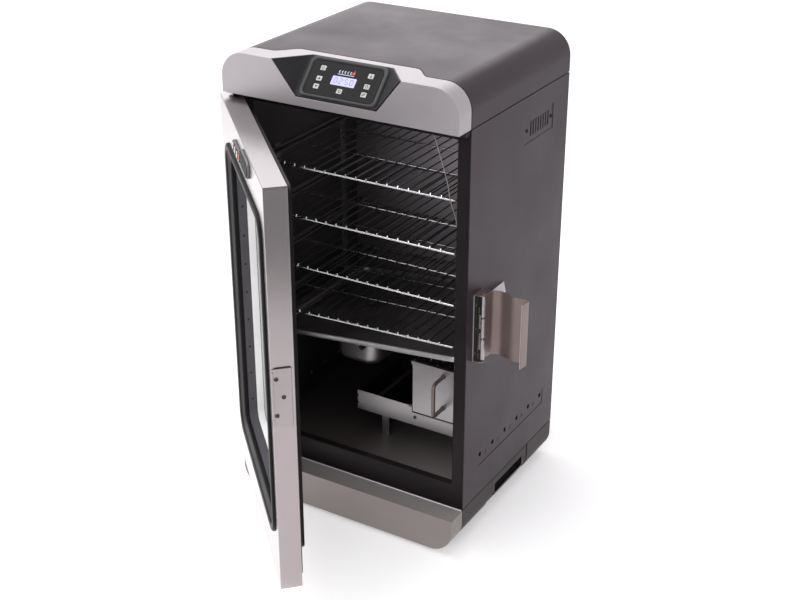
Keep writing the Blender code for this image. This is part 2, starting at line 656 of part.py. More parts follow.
skin = box("door_skin", DOOR_X0, DOOR_X1, FACE, DOOR_BACK, DOOR_Z0, DOOR_Z1,
           stainless("door_steel"), door)
boolean(skin, box("skin_hollow", DOOR_X0 + SHEET, DOOR_X1 - SHEET, FACE + SHEET, DOOR_BACK + 5,
                  DOOR_Z0 + SHEET, DOOR_Z1 - SHEET, parent=door, cutter=True))
skin_window = prism("skin_window", window_outline(hole_in, 22), "y", FACE - 5, FACE + 5,
                    parent=door, cutter=True)
boolean(skin, skin_window)
pins = bmesh.new()
for z in (DOOR_Z0 + 3, DOOR_Z1 - 3):
    cylinder_bm((*HINGE, z), 4.0, 20, "z", 12, pins)
pin_holes = finish("pin_holes", pins, None, door, cutter=True)
boolean(skin, pin_holes)

inner = 0.3 + SHEET
wool = ring_prism("door_insulation",
                  rounded(DOOR_X0 + inner, DOOR_X1 - inner, DOOR_Z0 + inner, DOOR_Z1 - inner, 2),
                  window_outline(hole_in - 3, 22), "y", FACE + inner, DOOR_BACK - 2.0,
                  paint("wool_door", (0.75, 0.68, 0.5), 0.95), door)
notches = bmesh.new()
for z in (DOOR_Z0, DOOR_Z1):
    box_bm(DOOR_X0 - 3, HINGE[0] + 6, HINGE[1] - 6, HINGE[1] + 6, z - 16, z + 16, notches)
boolean(wool, finish("pin_clearance", notches, None, door, cutter=True))

# Behind the window the skin's plastic sleeve meets a flange of the inner liner, which holds both panes
PLUG = (-190.0, 193.0, 122.0, 738.0)
SLEEVE_END = FACE + 9.0
liner = ring_prism("door_liner",
                   rounded(DOOR_X0 + inner, DOOR_X1 - inner, DOOR_Z0 + inner, DOOR_Z1 - inner, 2),
                   window_outline(24, 18), "y", DOOR_BACK - 1.6, DOOR_BACK,
                   black("door_liner_enamel"), door)
plug = prism("plug", rounded(*PLUG, 16), "y", DOOR_BACK - 1.0, DOOR_BACK + 10.5, parent=door,
             cutter=True)
tunnel = prism("window_tunnel", window_outline(21, 19), "y", SLEEVE_END + GAP, DOOR_BACK - 1.0,
               parent=door, cutter=True)
through = prism("plug_hole", window_outline(24, 18), "y", FACE, DOOR_BACK + 30, parent=door,
                cutter=True)
for made in (plug, tunnel):
    boolean(made, through)
    boolean(liner, made, "UNION")
ring_prism("door_gasket", rounded(-207, 210, 84, 748, 12),
           rounded(PLUG[0] - 1, PLUG[1] + 1, 99, PLUG[3] + 1, 8), "y", DOOR_BACK + GAP,
           FRONT - GAP, paint("gasket_rubber", (0.012, 0.012, 0.012), 0.8), door)

bezel = ring_prism("window_bezel", window_outline(0, 36), window_outline(26, 16), "y", FACE - 5,
                   FACE - GAP, black("bezel_plastic"), door)
sleeve = prism("bezel_sleeve", window_outline(hole_in + 0.4, 21.6), "y", FACE - 2, SLEEVE_END,
               parent=door, cutter=True)
boolean(sleeve, prism("sleeve_hole", window_outline(26, 16), "y", FACE - 30, FACE + 30,
                      parent=door, cutter=True))
boolean(bezel, sleeve, "UNION")
for word, depth in (("outer", 1.7), ("inner", 7.0)):
    prism("window_glass_" + word, window_outline(24.4, 17.6), "y", DOOR_BACK + depth,
          DOOR_BACK + depth + 3.0, paint(word + "_glass", (0.02, 0.02, 0.022), 0.05, alpha=0.4), door)
prism("badge", rounded(-50, 104, 716, 743, 12), "y", FACE - 4.5, FACE - GAP, black("badge_black"),
      door)
strike = box("strike_plate", DOOR_X1 + GAP, DOOR_X1 + 1.8, FACE + 1, FACE + 30, 373, 471,
             stainless("strike_steel"), door)
boolean(strike, box("strike_catch", DOOR_X1 + 0.5, DOOR_X1 + 4, FACE + 1, FACE + 3, 378, 466,
                    parent=door, cutter=True), "UNION")

for word, z0, z1, pin_low, pin_high in (("top", 755.0, 757.4, 742.5, 756.0),
                                        ("bottom", 72.3, 74.3, 73.0, 87.0)):
    bracket = box("hinge_" + word, -217.5, -200, -204, FRONT - GAP, z0, z1,
                  black("hinge_%s_steel" % word))
    boolean(bracket, cylinder("hinge_pin_" + word, (*HINGE, (pin_low + pin_high) / 2), 3.0,
                              pin_high - pin_low, cutter=True), "UNION")
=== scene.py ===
"""The looks of an electric cabinet smoker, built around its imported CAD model.

Lengths are millimetres in the cabinet's own axes (x from its middle, y from the middle of its
depth, z from the floor), and each piece's object carries them into the frame. Door pieces are made
shut, and their object turns them to where the door rests."""

import json
import math

import bmesh
import bpy
from mathutils import Matrix, Vector

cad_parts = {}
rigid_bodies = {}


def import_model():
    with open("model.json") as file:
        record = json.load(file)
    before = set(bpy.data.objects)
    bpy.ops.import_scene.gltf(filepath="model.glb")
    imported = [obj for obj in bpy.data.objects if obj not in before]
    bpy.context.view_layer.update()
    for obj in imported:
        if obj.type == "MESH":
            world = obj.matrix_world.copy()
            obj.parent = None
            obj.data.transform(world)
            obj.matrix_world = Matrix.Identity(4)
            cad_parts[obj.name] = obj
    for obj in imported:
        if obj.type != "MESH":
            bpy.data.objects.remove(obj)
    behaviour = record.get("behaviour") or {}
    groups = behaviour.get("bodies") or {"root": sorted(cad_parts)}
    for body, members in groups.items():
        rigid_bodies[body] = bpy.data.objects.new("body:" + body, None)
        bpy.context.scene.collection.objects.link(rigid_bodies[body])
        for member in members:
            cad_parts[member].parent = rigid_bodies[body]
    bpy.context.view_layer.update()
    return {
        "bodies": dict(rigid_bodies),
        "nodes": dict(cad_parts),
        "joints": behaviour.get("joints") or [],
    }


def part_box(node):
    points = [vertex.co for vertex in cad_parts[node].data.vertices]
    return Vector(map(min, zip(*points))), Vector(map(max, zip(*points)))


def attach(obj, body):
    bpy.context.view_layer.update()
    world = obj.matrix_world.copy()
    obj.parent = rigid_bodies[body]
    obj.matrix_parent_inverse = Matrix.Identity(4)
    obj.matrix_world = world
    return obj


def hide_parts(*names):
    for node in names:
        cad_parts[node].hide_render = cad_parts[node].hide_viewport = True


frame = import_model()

scene = bpy.context.scene
nodes = frame["nodes"]
joints = {joint["name"]: joint for joint in frame["joints"]}
MM = 0.001


def cad(node):
    """A CAD node's box in cabinet millimetres: x0, x1, y0, y1, z0, z1."""
    low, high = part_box(node)
    low, high = (low - CENTRE) / MM, (high - CENTRE) / MM
    return low.x, high.x, low.y, high.y, low.z, high.z


# ---------------------------------------------------------------- sizes, from the frame

left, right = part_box("side_panel_left")[0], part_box("side_panel_right")[1]
CENTRE = Vector(((left.x + right.x) / 2,
                 (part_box("front_frame")[0].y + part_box("back_panel")[1].y) / 2, 0))
HALF = cad("side_panel_right")[1]
FRONT, BACK = cad("front_frame")[2], cad("back_panel")[3]
FACE = cad("fascia")[2]
TOP, SEAM_TOP = cad("lid")[5], cad("side_panel_right")[5] + 0.3
SEAM_BASE, BASE_BOTTOM = cad("side_panel_right")[4] - 0.3, cad("base_trim")[4]
OPEN_X, FLOOR = cad("liner_right")[0], cad("floor_plate")[5]
CEILING = cad("liner_top")[4]
CORNER = 43.0
SEAM = 0.75                     # half of the gap seen between outer sheets

hinge = joints["door_hinge"]
hinge_spot = Vector(hinge["pos_m"])
DOOR_ANGLE = math.radians(-abs(hinge["range_deg"][0]))
HINGE = (hinge_spot - CENTRE) / MM
DOOR_BACK = FACE + 34.8                     # the door is 34.8 thick
DOOR = (-218.5, 222.3, 76.3, 752.4)         # x0, x1, z0, z1 with the door shut
WINDOW = (-163.0, 202.0, 156.0, 696.0)
SLEEVE_END = FACE + 9.0

CABINET = Matrix.Translation(CENTRE)
SHUT_TO_REST = (Matrix.Translation(hinge_spot) @ Matrix.Rotation(DOOR_ANGLE, 4, "Z")
                @ Matrix.Translation(-hinge_spot) @ CABINET)
PANEL_LOW, PANEL_BACK, PANEL_X, PANEL_TIP = 777.0, -165.0, 73.5, 116.0
SHEET = 1.2                     # thickness of the outer sheets
WALL = 205.0                    # outer side of the liner, where the side wool starts
# Side vent: slots from front to back, and their low and high ends
VENT_Y, VENT_PITCH, VENT_SLOTS, VENT_LOW, VENT_HIGH = 31.0, 9.3, 8, 688.0, 713.0
# Row of air holes low on both sides
HOLE_Y, HOLE_PITCH, HOLES, HOLE_Z = -115.7, 47.3, 6, 154.0
PROBE_X, PROBE_Y = 193.4, -168.0
LATCH_LOW, LATCH_HIGH, PIVOT_X, PIVOT_Y = 357.0, 475.0, 231.5, -146.0

# ---------------------------------------------------------------- camera, floor and lights

AZIMUTH, ELEVATION, DISTANCE = math.radians(30.82), math.radians(26.0), 2484.3
AIM = CABINET @ (Vector((-11.86, 0, 344.33)) * MM)
away = Vector((math.sin(AZIMUTH) * math.cos(ELEVATION), -math.cos(AZIMUTH) * math.cos(ELEVATION),
               math.sin(ELEVATION)))
camera = bpy.data.objects.new("camera", bpy.data.cameras.new("camera"))
scene.collection.objects.link(camera)
camera.data.sensor_width = 36.0
camera.data.lens = 61.79
camera.location = AIM + away * DISTANCE * MM
camera.rotation_mode = "QUATERNION"
camera.rotation_quaternion = away.to_track_quat("Z", "Y")
scene.camera = camera


def area_light(name, place, aim, size, power):
    light = bpy.data.lights.new(name, "AREA")
    light.shape = "RECTANGLE"
    light.size = light.size_y = size
    light.energy = power
    lamp = bpy.data.objects.new(name, light)
    scene.collection.objects.link(lamp)
    lamp.location = place
    lamp.rotation_mode = "QUATERNION"
    lamp.rotation_quaternion = (Vector(place) - Vector(aim)).to_track_quat("Z", "Y")
    return lamp


scene.view_settings.view_transform = "Standard"
world = bpy.data.worlds.new("studio")
scene.world = world
world.use_nodes = True
sky = world.node_tree.nodes["Background"].inputs
sky["Color"].default_value, sky["Strength"].default_value = (1.0, 0.985, 1.0, 1.0), 0.62
area_light("top_softbox", (-0.6, -0.3, 2.6), (0, 0.1, 0.5), 2.2, 46)
area_light("left_softbox", (-2.4, -0.6, 1.3), (0, 0, 0.4), 1.6, 26)
area_light("front_fill", (0.9, -2.8, 1.5), (0, 0, 0.4), 1.4, 20)
glow = area_light("chamber_glow", CABINET @ Vector((0.05, -0.15, 0.735)),
                  CABINET @ Vector((0.12, 0.15, 0.58)), 0.12, 1.6)
glow.visible_camera = glow.visible_glossy = False
# Seen only as a sheen on the lid and on the bezel's top edge
sheen = area_light("rear_sheen", (-1.15, 1.75, 1.95), (0, 0, 0.83), 2.2, 17)
sheen.visible_diffuse = sheen.visible_camera = False


# ---------------------------------------------------------------- materials


def node_of(tree, kind, **settings):
    made = tree.nodes.new(kind)
    for key, value in settings.items():
        setattr(made, key, value)
    return made


class Paint:
    """A material with a Principled shader, and short ways of adding procedural detail to it."""

    def __init__(self, name, colour, roughness, metallic=0.0, **sockets):
        self.material = bpy.data.materials.new(name)
        self.material.use_nodes = True
        self.tree = self.material.node_tree
        self.shader = self.tree.nodes["Principled BSDF"]
        self.colour, self.roughness = colour, roughness
        self.shader.inputs["Base Color"].default_value = (*colour, 1.0)
        self.shader.inputs["Roughness"].default_value = roughness
        self.shader.inputs["Metallic"].default_value = metallic
        for key, value in sockets.items():
            self.shader.inputs[key.replace("_", " ")].default_value = value
        self.material.diffuse_color = (*colour, 1.0)

    def noise(self, scale, stretch=(1, 1, 1), detail=3.0, rough=0.55):
        place = node_of(self.tree, "ShaderNodeTexCoord")
        mapping = node_of(self.tree, "ShaderNodeMapping")
        mapping.inputs["Scale"].default_value = stretch
        texture = node_of(self.tree, "ShaderNodeTexNoise")
        texture.inputs["Scale"].default_value = scale
        texture.inputs["Detail"].default_value = detail
        texture.inputs["Roughness"].default_value = rough
        self.tree.links.new(place.outputs["Object"], mapping.inputs["Vector"])
        self.tree.links.new(mapping.outputs["Vector"], texture.inputs["Vector"])
        return texture.outputs["Fac"]

    def spread(self, source, low, high, start=0.3, end=0.7):
        ranged = node_of(self.tree, "ShaderNodeMapRange")
        for key, value in (("From Min", start), ("From Max", end), ("To Min", low),
                           ("To Max", high)):
            ranged.inputs[key].default_value = value
        self.tree.links.new(source, ranged.inputs["Value"])
        return ranged.outputs["Result"]

    def rough(self, source, amount):
        """Roughness wanders by this much either side of its middle value."""
        out = self.spread(source, self.roughness - amount, self.roughness + amount)
        self.tree.links.new(out, self.shader.inputs["Roughness"])
        return self

    def tint(self, source, other, start=0.35, end=0.65):
        """Colour wanders between the base colour and another."""
        mix = node_of(self.tree, "ShaderNodeMix", data_type="RGBA")
        mix.inputs["A"].default_value = (*self.colour, 1.0)
        mix.inputs["B"].default_value = (*other, 1.0)
        self.tree.links.new(self.spread(source, 0, 1, start, end), mix.inputs["Factor"])
        self.tree.links.new(mix.outputs["Result"], self.shader.inputs["Base Color"])
        return self

    def product(self, *axes):
        """The product of the piece's own 0 to 1 coordinates along these axes."""
        place = node_of(self.tree, "ShaderNodeTexCoord")
        split = node_of(self.tree, "ShaderNodeSeparateXYZ")
        self.tree.links.new(place.outputs["Generated"], split.inputs["Vector"])
        out = split.outputs[axes[0]]
        for axis in axes[1:]:
            times = node_of(self.tree, "ShaderNodeMath", operation="MULTIPLY")
            self.tree.links.new(out, times.inputs[0])
            self.tree.links.new(split.outputs[axis], times.inputs[1])
            out = times.outputs[0]
        return out

    def bump(self, source, strength, distance=0.0002):
        step = node_of(self.tree, "ShaderNodeBump")
        step.inputs["Strength"].default_value = strength
        step.inputs["Distance"].default_value = distance
        self.tree.links.new(source, step.inputs["Height"])
        self.tree.links.new(step.outputs["Normal"], self.shader.inputs["Normal"])
        return self


def brushed(name, colour, roughness, along, wander=0.03, strength=0.05, metallic=0.8):
    """Brushed sheet whose lines run along x, y or z."""
    fine = [900.0, 900.0, 900.0]
    fine["xyz".index(along)] = 12.0
    paint = Paint(name, colour, roughness, metallic)
    lines = paint.noise(2.0, fine, 2.0, 0.5)
    cloud = paint.noise(5.0, (1, 1, 1), 3.0)
    darker = tuple(c * 0.86 for c in colour)
    return paint.rough(lines, wander).tint(cloud, darker, 0.3, 0.75).bump(lines, strength).material


def satin(name, colour, roughness, metallic=0.0, grain=900.0, strength=0.12, **sockets):
    """A painted or moulded surface: fine grain, and patches that are slightly glossier."""
    paint = Paint(name, colour, roughness, metallic, **sockets)
    fine = paint.noise(grain, detail=2.0)
    cloud = paint.noise(9.0, detail=4.0)
    other = tuple(min(1.0, c * 1.18 + 0.002) for c in colour)
    return paint.rough(cloud, 0.06).tint(cloud, other).bump(fine, strength, 0.0001).material


steel_x = brushed("steel_brushed_across", (0.43, 0.40, 0.417), 0.46, "x", metallic=0.62)
steel_z = brushed("steel_brushed_upright", (0.51, 0.475, 0.478), 0.24, "z", metallic=0.92)
door_paint = Paint("door_steel", (0.51, 0.475, 0.478), 0.24, 0.92)
door_lines = door_paint.noise(2.0, (900.0, 900.0, 12.0), 2.0, 0.5)
door_paint.rough(door_lines, 0.03).bump(door_lines, 0.05)
# Painted shade: its top edge is darker in colour, toning down the reflection it catches
door_steel = door_paint.tint(door_paint.product("Z"), (0.36, 0.335, 0.34), 0.992, 0.999).material
steel_trim = brushed("steel_trim", (0.27, 0.24, 0.23), 0.42, "x", metallic=0.4)
lever_steel = brushed("lever_polished_sheet", (0.28, 0.222, 0.207), 0.48, "z", 0.02, metallic=0.8)
# Painted highlight: a pale lilac-white sheet, not metal, for the bright hem on the base trim and
# the bright latch gusset
pale_sheet_painted_highlight = satin("pale_sheet_painted_highlight", (0.88, 0.79, 0.88), 0.4, 0.0, 700.0, 0.1)
# Painted light: a lighter, less metallic copy of the trim's steel for the trim's top ledge
ledge_steel_painted_light = brushed("ledge_steel_painted_light", (0.34, 0.315, 0.31), 0.5, "x", metallic=0.2)
gusset_steel = brushed("gusset_sheet", (0.64, 0.61, 0.62), 0.35, "y")
# Painted reflection: a near-white diffuse sheet for the bright rim inside the window
white_sheet_painted_reflection = satin("white_edge_painted_reflection", (0.90, 0.89, 0.90), 0.4, 0.0, 700.0, 0.1)
sheet_steel = satin("aluminised_sheet", (0.43, 0.41, 0.42), 0.38, 1.0, 500.0, 0.2)
tray_steel = satin("tray_sheet", (0.42, 0.40, 0.40), 0.42, 1.0, 500.0, 0.2)
grey_coat = satin("gunmetal_coat", (0.026, 0.0175, 0.024), 0.40, 0.0, 1400.0, 0.2,
                  Specular_IOR_Level=0.21, Specular_Tint=(1.0, 0.87, 0.98, 1.0))
black_enamel = satin("black_enamel", (0.006, 0.0048, 0.0052), 0.42, 0.0, 700.0, 0.1,
                     Specular_IOR_Level=0.2, Specular_Tint=(1.0, 0.86, 0.92, 1.0))
chamber_enamel = satin("chamber_enamel", (0.014, 0.012, 0.013), 0.40, 0.0, 500.0, 0.12)
guide_enamel = satin("guide_enamel", (0.05, 0.046, 0.048), 0.40, 0.0, 500.0, 0.12)
# Painted light: the rear wall's enamel is darker low down and lighter towards the top right, as if
# lit there
chamber_rear = Paint("chamber_rear_enamel_painted_light", (0.034, 0.030, 0.032), 0.40)
chamber_rear.tint(chamber_rear.product("X", "Z"), (0.34, 0.31, 0.335), 0.05, 0.80)
chamber_back_painted_light = chamber_rear.bump(chamber_rear.noise(500.0), 0.12, 0.0001).material
# Painted sheen: the floor's enamel turns lighter towards the right, standing in for the light it
# reflects there
floor_paint = Paint("floor_enamel", (0.045, 0.038, 0.036), 0.34)
floor_paint.tint(floor_paint.product("X"), (0.17, 0.152, 0.15), 0.45, 1.0)
floor_enamel = floor_paint.bump(floor_paint.noise(400.0), 0.12, 0.0001).material
black_plastic = satin("black_plastic", (0.016, 0.015, 0.017), 0.5, 0.0, 2200.0, 0.3)
housing_plastic = satin("housing_plastic", (0.026, 0.0245, 0.027), 0.48, 0.0, 2400.0, 0.2,
                        Specular_IOR_Level=0.35)
base_plastic = satin("base_plastic", (0.040, 0.033, 0.035), 0.6, 0.0, 2000.0, 0.3,
                     Specular_IOR_Level=0.3)
facet_plastic = satin("facet_plastic", (0.012, 0.011, 0.0125), 0.48, 0.0, 2400.0, 0.2,
                      Specular_IOR_Level=0.2)
face_gloss = satin("panel_face", (0.009, 0.0088, 0.0088), 0.4, 0.0, 1200.0, 0.03,
                   Specular_IOR_Level=0.10)
bezel_plastic = satin("bezel_plastic", (0.009, 0.008, 0.0092), 0.42, 0.0, 2400.0, 0.15,
                      Specular_IOR_Level=0.10)
flange_grey = satin("flange_grey", (0.075, 0.071, 0.08), 0.5, 0.2, 900.0, 0.2)
rubber = satin("rubber", (0.006, 0.0055, 0.0055), 0.7, 0.0, 1500.0, 0.4, Specular_IOR_Level=0.2)
wool = satin("mineral_wool", (0.075, 0.068, 0.058), 0.95, 0.0, 300.0, 1.0)
board = satin("board_laminate", (0.02, 0.16, 0.05), 0.45, 0.0, 600.0, 0.2)
chrome = Paint("bright_wire", (0.83, 0.82, 0.83), 0.18, 1.0)
chrome = chrome.rough(chrome.noise(60.0), 0.05).material
side_wire = satin("dark_wire", (0.012, 0.011, 0.012), 0.42, 0.2, 700.0, 0.2, Specular_IOR_Level=0.3)
dark_screw = satin("shadowed_screw", (0.10, 0.085, 0.075), 0.35, 1.0, 900.0, 0.1)
red_print = satin("red_print", (0.55, 0.03, 0.03), 0.5)
screw_steel = satin("screw_steel", (0.50, 0.46, 0.44), 0.3, 1.0, 900.0, 0.1)
dark_hole = satin("shadowed_recess", (0.006, 0.006, 0.006), 0.8)
silver = satin("button_silver", (0.33, 0.33, 0.325), 0.5, 0.3, 1500.0, 0.1)
badge_rim = satin("badge_rim", (0.13, 0.125, 0.13), 0.45, 0.5, 1500.0, 0.1)
glyph = satin("glyph_black", (0.03, 0.03, 0.032), 0.5)
pale_print = satin("pale_print", (0.62, 0.66, 0.80), 0.5)
braid = Paint("braided_lead", (0.30, 0.29, 0.29), 0.45, 0.8)
braid = braid.bump(braid.noise(1800.0, (1, 1, 0.5)), 0.6).material
element = satin("element_sheath", (0.10, 0.085, 0.075), 0.5, 0.7, 600.0, 0.3)

glass = Paint("window_glass", (0.80, 0.81, 0.82), 0.03, 0.0, IOR=1.5, Transmission_Weight=1.0)
glass = glass.rough(glass.noise(14.0), 0.01).material

lcd = Paint("display_lit", (0.16, 0.16, 0.34), 0.25, 0.0, Emission_Strength=0.85)
lcd_mix = node_of(lcd.tree, "ShaderNodeMix", data_type="RGBA")
lcd_mix.inputs["A"].default_value = (0.40, 0.40, 0.74, 1.0)
lcd_mix.inputs["B"].default_value = (0.56, 0.56, 0.86, 1.0)
lcd.tree.links.new(lcd.noise(40.0), lcd_mix.inputs["Factor"])
lcd.tree.links.new(lcd_mix.outputs["Result"], lcd.shader.inputs["Emission Color"])
lcd = lcd.material
lcd_digit = satin("display_digit", (0.10, 0.10, 0.24), 0.4)

# ---------------------------------------------------------------- mesh tools

SIDES = ((-1, "left"), (1, "right"))

BODY_PLACE = {body: CABINET for body in frame["bodies"]}
BODY_PLACE["door"] = SHUT_TO_REST
AXES = {"x": (1, 2, 0), "y": (0, 2, 1), "z": (0, 1, 2)}


def piece(name, bm, material, body="cabinet", stands_for=None, bevel=0.0, steps=2, sharp=32.0,
          place=Matrix()):
    """Turns a bmesh in millimetres into an object that rides on a body, with rounded edges."""
    bmesh.ops.recalc_face_normals(bm, faces=bm.faces)
    bmesh.ops.scale(bm, vec=(MM, MM, MM), verts=bm.verts)
    mesh = bpy.data.meshes.new(name)
    bm.to_mesh(mesh)
    bm.free()
    mesh.materials.append(material)
    made = bpy.data.objects.new(name, mesh)
    scene.collection.objects.link(made)
    made.matrix_world = BODY_PLACE[body] @ place
    mesh.shade_smooth()
    if bevel:
        edge = made.modifiers.new("edges", "BEVEL")
        edge.width = bevel * MM
        edge.segments = steps
        edge.limit_method = "ANGLE"
        edge.angle_limit = math.radians(sharp)
        edge.miter_outer = "MITER_ARC"
        made.modifiers.new("normals", "WEIGHTED_NORMAL").weight = 60
    else:
        mesh.set_sharp_from_angle(angle=math.radians(sharp))
    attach(made, body)
    if stands_for:
        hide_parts(stands_for)


def carve(bm, tool, operation="DIFFERENCE"):
    """The Boolean of two bmeshes, as a new one."""
    pair = []
    for part in (bm, tool):
        bmesh.ops.recalc_face_normals(part, faces=part.faces)
        mesh = bpy.data.meshes.new("carving")
        part.to_mesh(mesh)
        part.free()
        made = bpy.data.objects.new("carving", mesh)
        scene.collection.objects.link(made)
        pair.append(made)
    step = pair[0].modifiers.new("cut", "BOOLEAN")
    step.operation, step.solver, step.object, step.use_self = operation, "EXACT", pair[1], True
    result = bmesh.new()
    result.from_object(pair[0], bpy.context.evaluated_depsgraph_get())
    for made in pair:
        mesh = made.data
        bpy.data.objects.remove(made)
        bpy.data.meshes.remove(mesh)
    return result


def box(x0, x1, y0, y1, z0, z1, bm=None):
    bm = bm or bmesh.new()
    size = Matrix.Diagonal((x1 - x0, y1 - y0, z1 - z0, 1))
    move = Matrix.Translation(((x0 + x1) / 2, (y0 + y1) / 2, (z0 + z1) / 2))
    bmesh.ops.create_cube(bm, size=1.0, matrix=move @ size)
    return bm


def mirrored_box(side, x0, x1, y0, y1, z0, z1, bm=None):
    low, high = sorted((side * x0, side * x1))
    return box(low, high, y0, y1, z0, z1, bm)


def loop_of(bm, outline, axis, level):
    first, second, third = AXES[axis]
    ring = []
    for a, b in outline:
        co = [0.0, 0.0, 0.0]
        co[first], co[second], co[third] = a, b, level
        ring.append(bm.verts.new(co))
    return ring


def bridge(bm, one, two):
    for i in range(len(one)):
        j = (i + 1) % len(one)
        bm.faces.new((one[i], one[j], two[j], two[i]))


def join_loops(bm, loops):
    for one, two in zip(loops, loops[1:]):
        bridge(bm, one, two)


def merge(bm, other):
    """Moves all of another bmesh into this one."""
    mesh = bpy.data.meshes.new("merged")
    other.to_mesh(mesh)
    other.free()
    bm.from_mesh(mesh)
    bpy.data.meshes.remove(mesh)


def prism(outline, axis, low, high, bm=None):
    bm = bm or bmesh.new()
    one, two = loop_of(bm, outline, axis, low), loop_of(bm, outline, axis, high)
    bm.faces.new(one)
    bm.faces.new(two)
    bridge(bm, one, two)
    return bm


def ring(outer, inner, axis, low, high, bm=None):
    """A plate with a hole: both outlines have the same number of points."""
    bm = bm or bmesh.new()
    a, b = loop_of(bm, outer, axis, low), loop_of(bm, outer, axis, high)
    c, d = loop_of(bm, inner, axis, low), loop_of(bm, inner, axis, high)
    for one, two in ((a, b), (a, c), (b, d), (c, d)):
        bridge(bm, one, two)
    return bm


def lofted(rings, axis, bm=None, capped=True):
    """Joins a list of (outline, level), with capped ends or with its last joined to its first."""
    bm = bm or bmesh.new()
    loops = [loop_of(bm, outline, axis, level) for outline, level in rings]
    join_loops(bm, loops)
    if capped:
        bm.faces.new(loops[0])
        bm.faces.new(loops[-1])
    else:
        bridge(bm, loops[-1], loops[0])
    return bm


def circle(x, y, radius, sides):
    angles = [2 * math.pi * k / sides for k in range(sides)]
    return [(x + radius * math.cos(a), y + radius * math.sin(a)) for a in angles]


def rounded_corners(corners, steps):
    """An outline of quarter arcs, each given by its centre, radius and first angle."""
    points = []
    for x, z, radius, start in corners:
        for step in range(steps + 1):
            angle = math.radians(start + 90 * step / steps)
            points.append((x + radius * math.cos(angle), z + radius * math.sin(angle)))
    return points


def rounded(x0, x1, z0, z1, radius, steps=8):
    return rounded_corners(((x1 - radius, z0 + radius, radius, -90),
                            (x1 - radius, z1 - radius, radius, 0),
                            (x0 + radius, z1 - radius, radius, 90),
                            (x0 + radius, z0 + radius, radius, 180)), steps)


def top_profile(half, z0, z1, radius, steps=18):
    arc = [math.radians(90 * i / steps) for i in range(steps + 1)]
    side = [(half - radius + radius * math.cos(a), z1 - radius + radius * math.sin(a)) for a in arc]
    return [(half, z0)] + side + [(-x, z) for x, z in reversed(side)] + [(-half, z0)]


def base_profile(half, z0, z1, radius, steps=18):
    return [(x, z0 + z1 - z) for x, z in top_profile(half, z0, z1, radius, steps)]


def cylinder(centre, radius, length, axis="z", sides=24, bm=None):
    bm = bm or bmesh.new()
    turn = {"z": Matrix(), "x": Matrix.Rotation(math.pi / 2, 4, "Y"),
            "y": Matrix.Rotation(math.pi / 2, 4, "X")}[axis]
    bmesh.ops.create_cone(bm, cap_ends=True, segments=sides, radius1=radius, radius2=radius,
                          depth=length, matrix=Matrix.Translation(centre) @ turn)
    return bm


def hull(points):
    bm = bmesh.new()
    for point in points:
        bm.verts.new(point)
    made = bmesh.ops.convex_hull(bm, input=bm.verts)
    spare = [v for v in made["geom_interior"] + made["geom_unused"]
             if isinstance(v, bmesh.types.BMVert)]
    bmesh.ops.delete(bm, geom=spare, context="VERTS")
    return bm


def rod(bm, points, radius, sides=8):
    """A round bar along a path, with flat ends."""
    points = [Vector(p) for p in points]
    rings, across = [], None
    for i in range(len(points)):
        before, here, after = points[max(i - 1, 0)], points[i], points[min(i + 1, len(points) - 1)]
        ahead = (after - before).normalized()
        if across is None:
            guess = Vector((0, 0, 1)) if abs(ahead.z) < 0.9 else Vector((1, 0, 0))
            across = ahead.cross(guess).normalized()
        across = (across - ahead * across.dot(ahead)).normalized()
        up = ahead.cross(across)
        rings.append([bm.verts.new(here + (across * math.cos(a) + up * math.sin(a)) * radius)
                      for a in (2 * math.pi * k / sides for k in range(sides))])
    join_loops(bm, rings)
    bm.faces.new(rings[0])
    bm.faces.new(rings[-1])
    return bm


def round_path(points, radius, steps=6):
    """Rounds the corners of a path."""
    path = [Vector(points[0])]
    for before, here, after in zip(points, points[1:], points[2:]):
        here = Vector(here)
        into, out = (Vector(before) - here).normalized(), (Vector(after) - here).normalized()
        start, end = here + into * radius, here + out * radius
        for i in range(steps + 1):
            t = i / steps
            path.append(start.lerp(here, t).lerp(here.lerp(end, t), t))
    path.append(Vector(points[-1]))
    return path


def screws(name, spots, direction, radius, material, body="cabinet"):
    """Pan-head screws with a cross recess, all facing one way: spots are the feet of the heads."""
    heads = bmesh.new()
    turn = Vector(direction).to_track_quat("Z", "Y").to_matrix().to_4x4()
    long, short, deep = radius * 0.5, radius * 0.11, radius * 0.25
    for spot in spots:
        head = lofted([(circle(0, 0, radius * share, 20), radius * lift) for share, lift in
                       ((1.0, 0.0), (1.0, 0.22), (0.86, 0.42), (0.6, 0.52))], "z")
        cross = box(-long, long, -short, short, deep, radius)
        box(-short, short, -long, long, deep, radius, cross)
        head = carve(head, cross)
        head.transform(Matrix.Translation(spot) @ turn @ Matrix.Rotation(0.6, 4, "Z"))
        merge(heads, head)
    piece(name, heads, material, body)


# ---------------------------------------------------------------- outer cabinet

STEP_X, STEP_WIDE, STEP_Y = 106.0, 38.0, -146.0


def footprint(shift):
    """Top view of the bezel: deeper in the middle, with an S-shaped step on each side."""
    side = []
    for i in range(13):
        t = i / 12
        ease = t * t * (3 - 2 * t)
        side.append((STEP_X + STEP_WIDE * t, STEP_Y + (FRONT - STEP_Y) * ease + shift))
    return ([(HALF + 5, FRONT + shift)] + side[::-1] + [(-x, y) for x, y in side]
            + [(-HALF - 5, FRONT + shift), (-HALF - 5, FACE - 5), (HALF + 5, FACE - 5)])


def panel_corners(grow):
    """Corners of the sloping control panel: left tip, back and front points, then the right's."""
    tip, back_y, low = PANEL_TIP + 2 * grow, PANEL_BACK + 1.4 * grow, PANEL_LOW - 1.4 * grow
    half = PANEL_X + grow
    return [(s * x, y, z) for s in (-1, 1)
            for x, y, z in ((tip, FACE, TOP), (half, back_y, TOP), (half, FACE, low))]


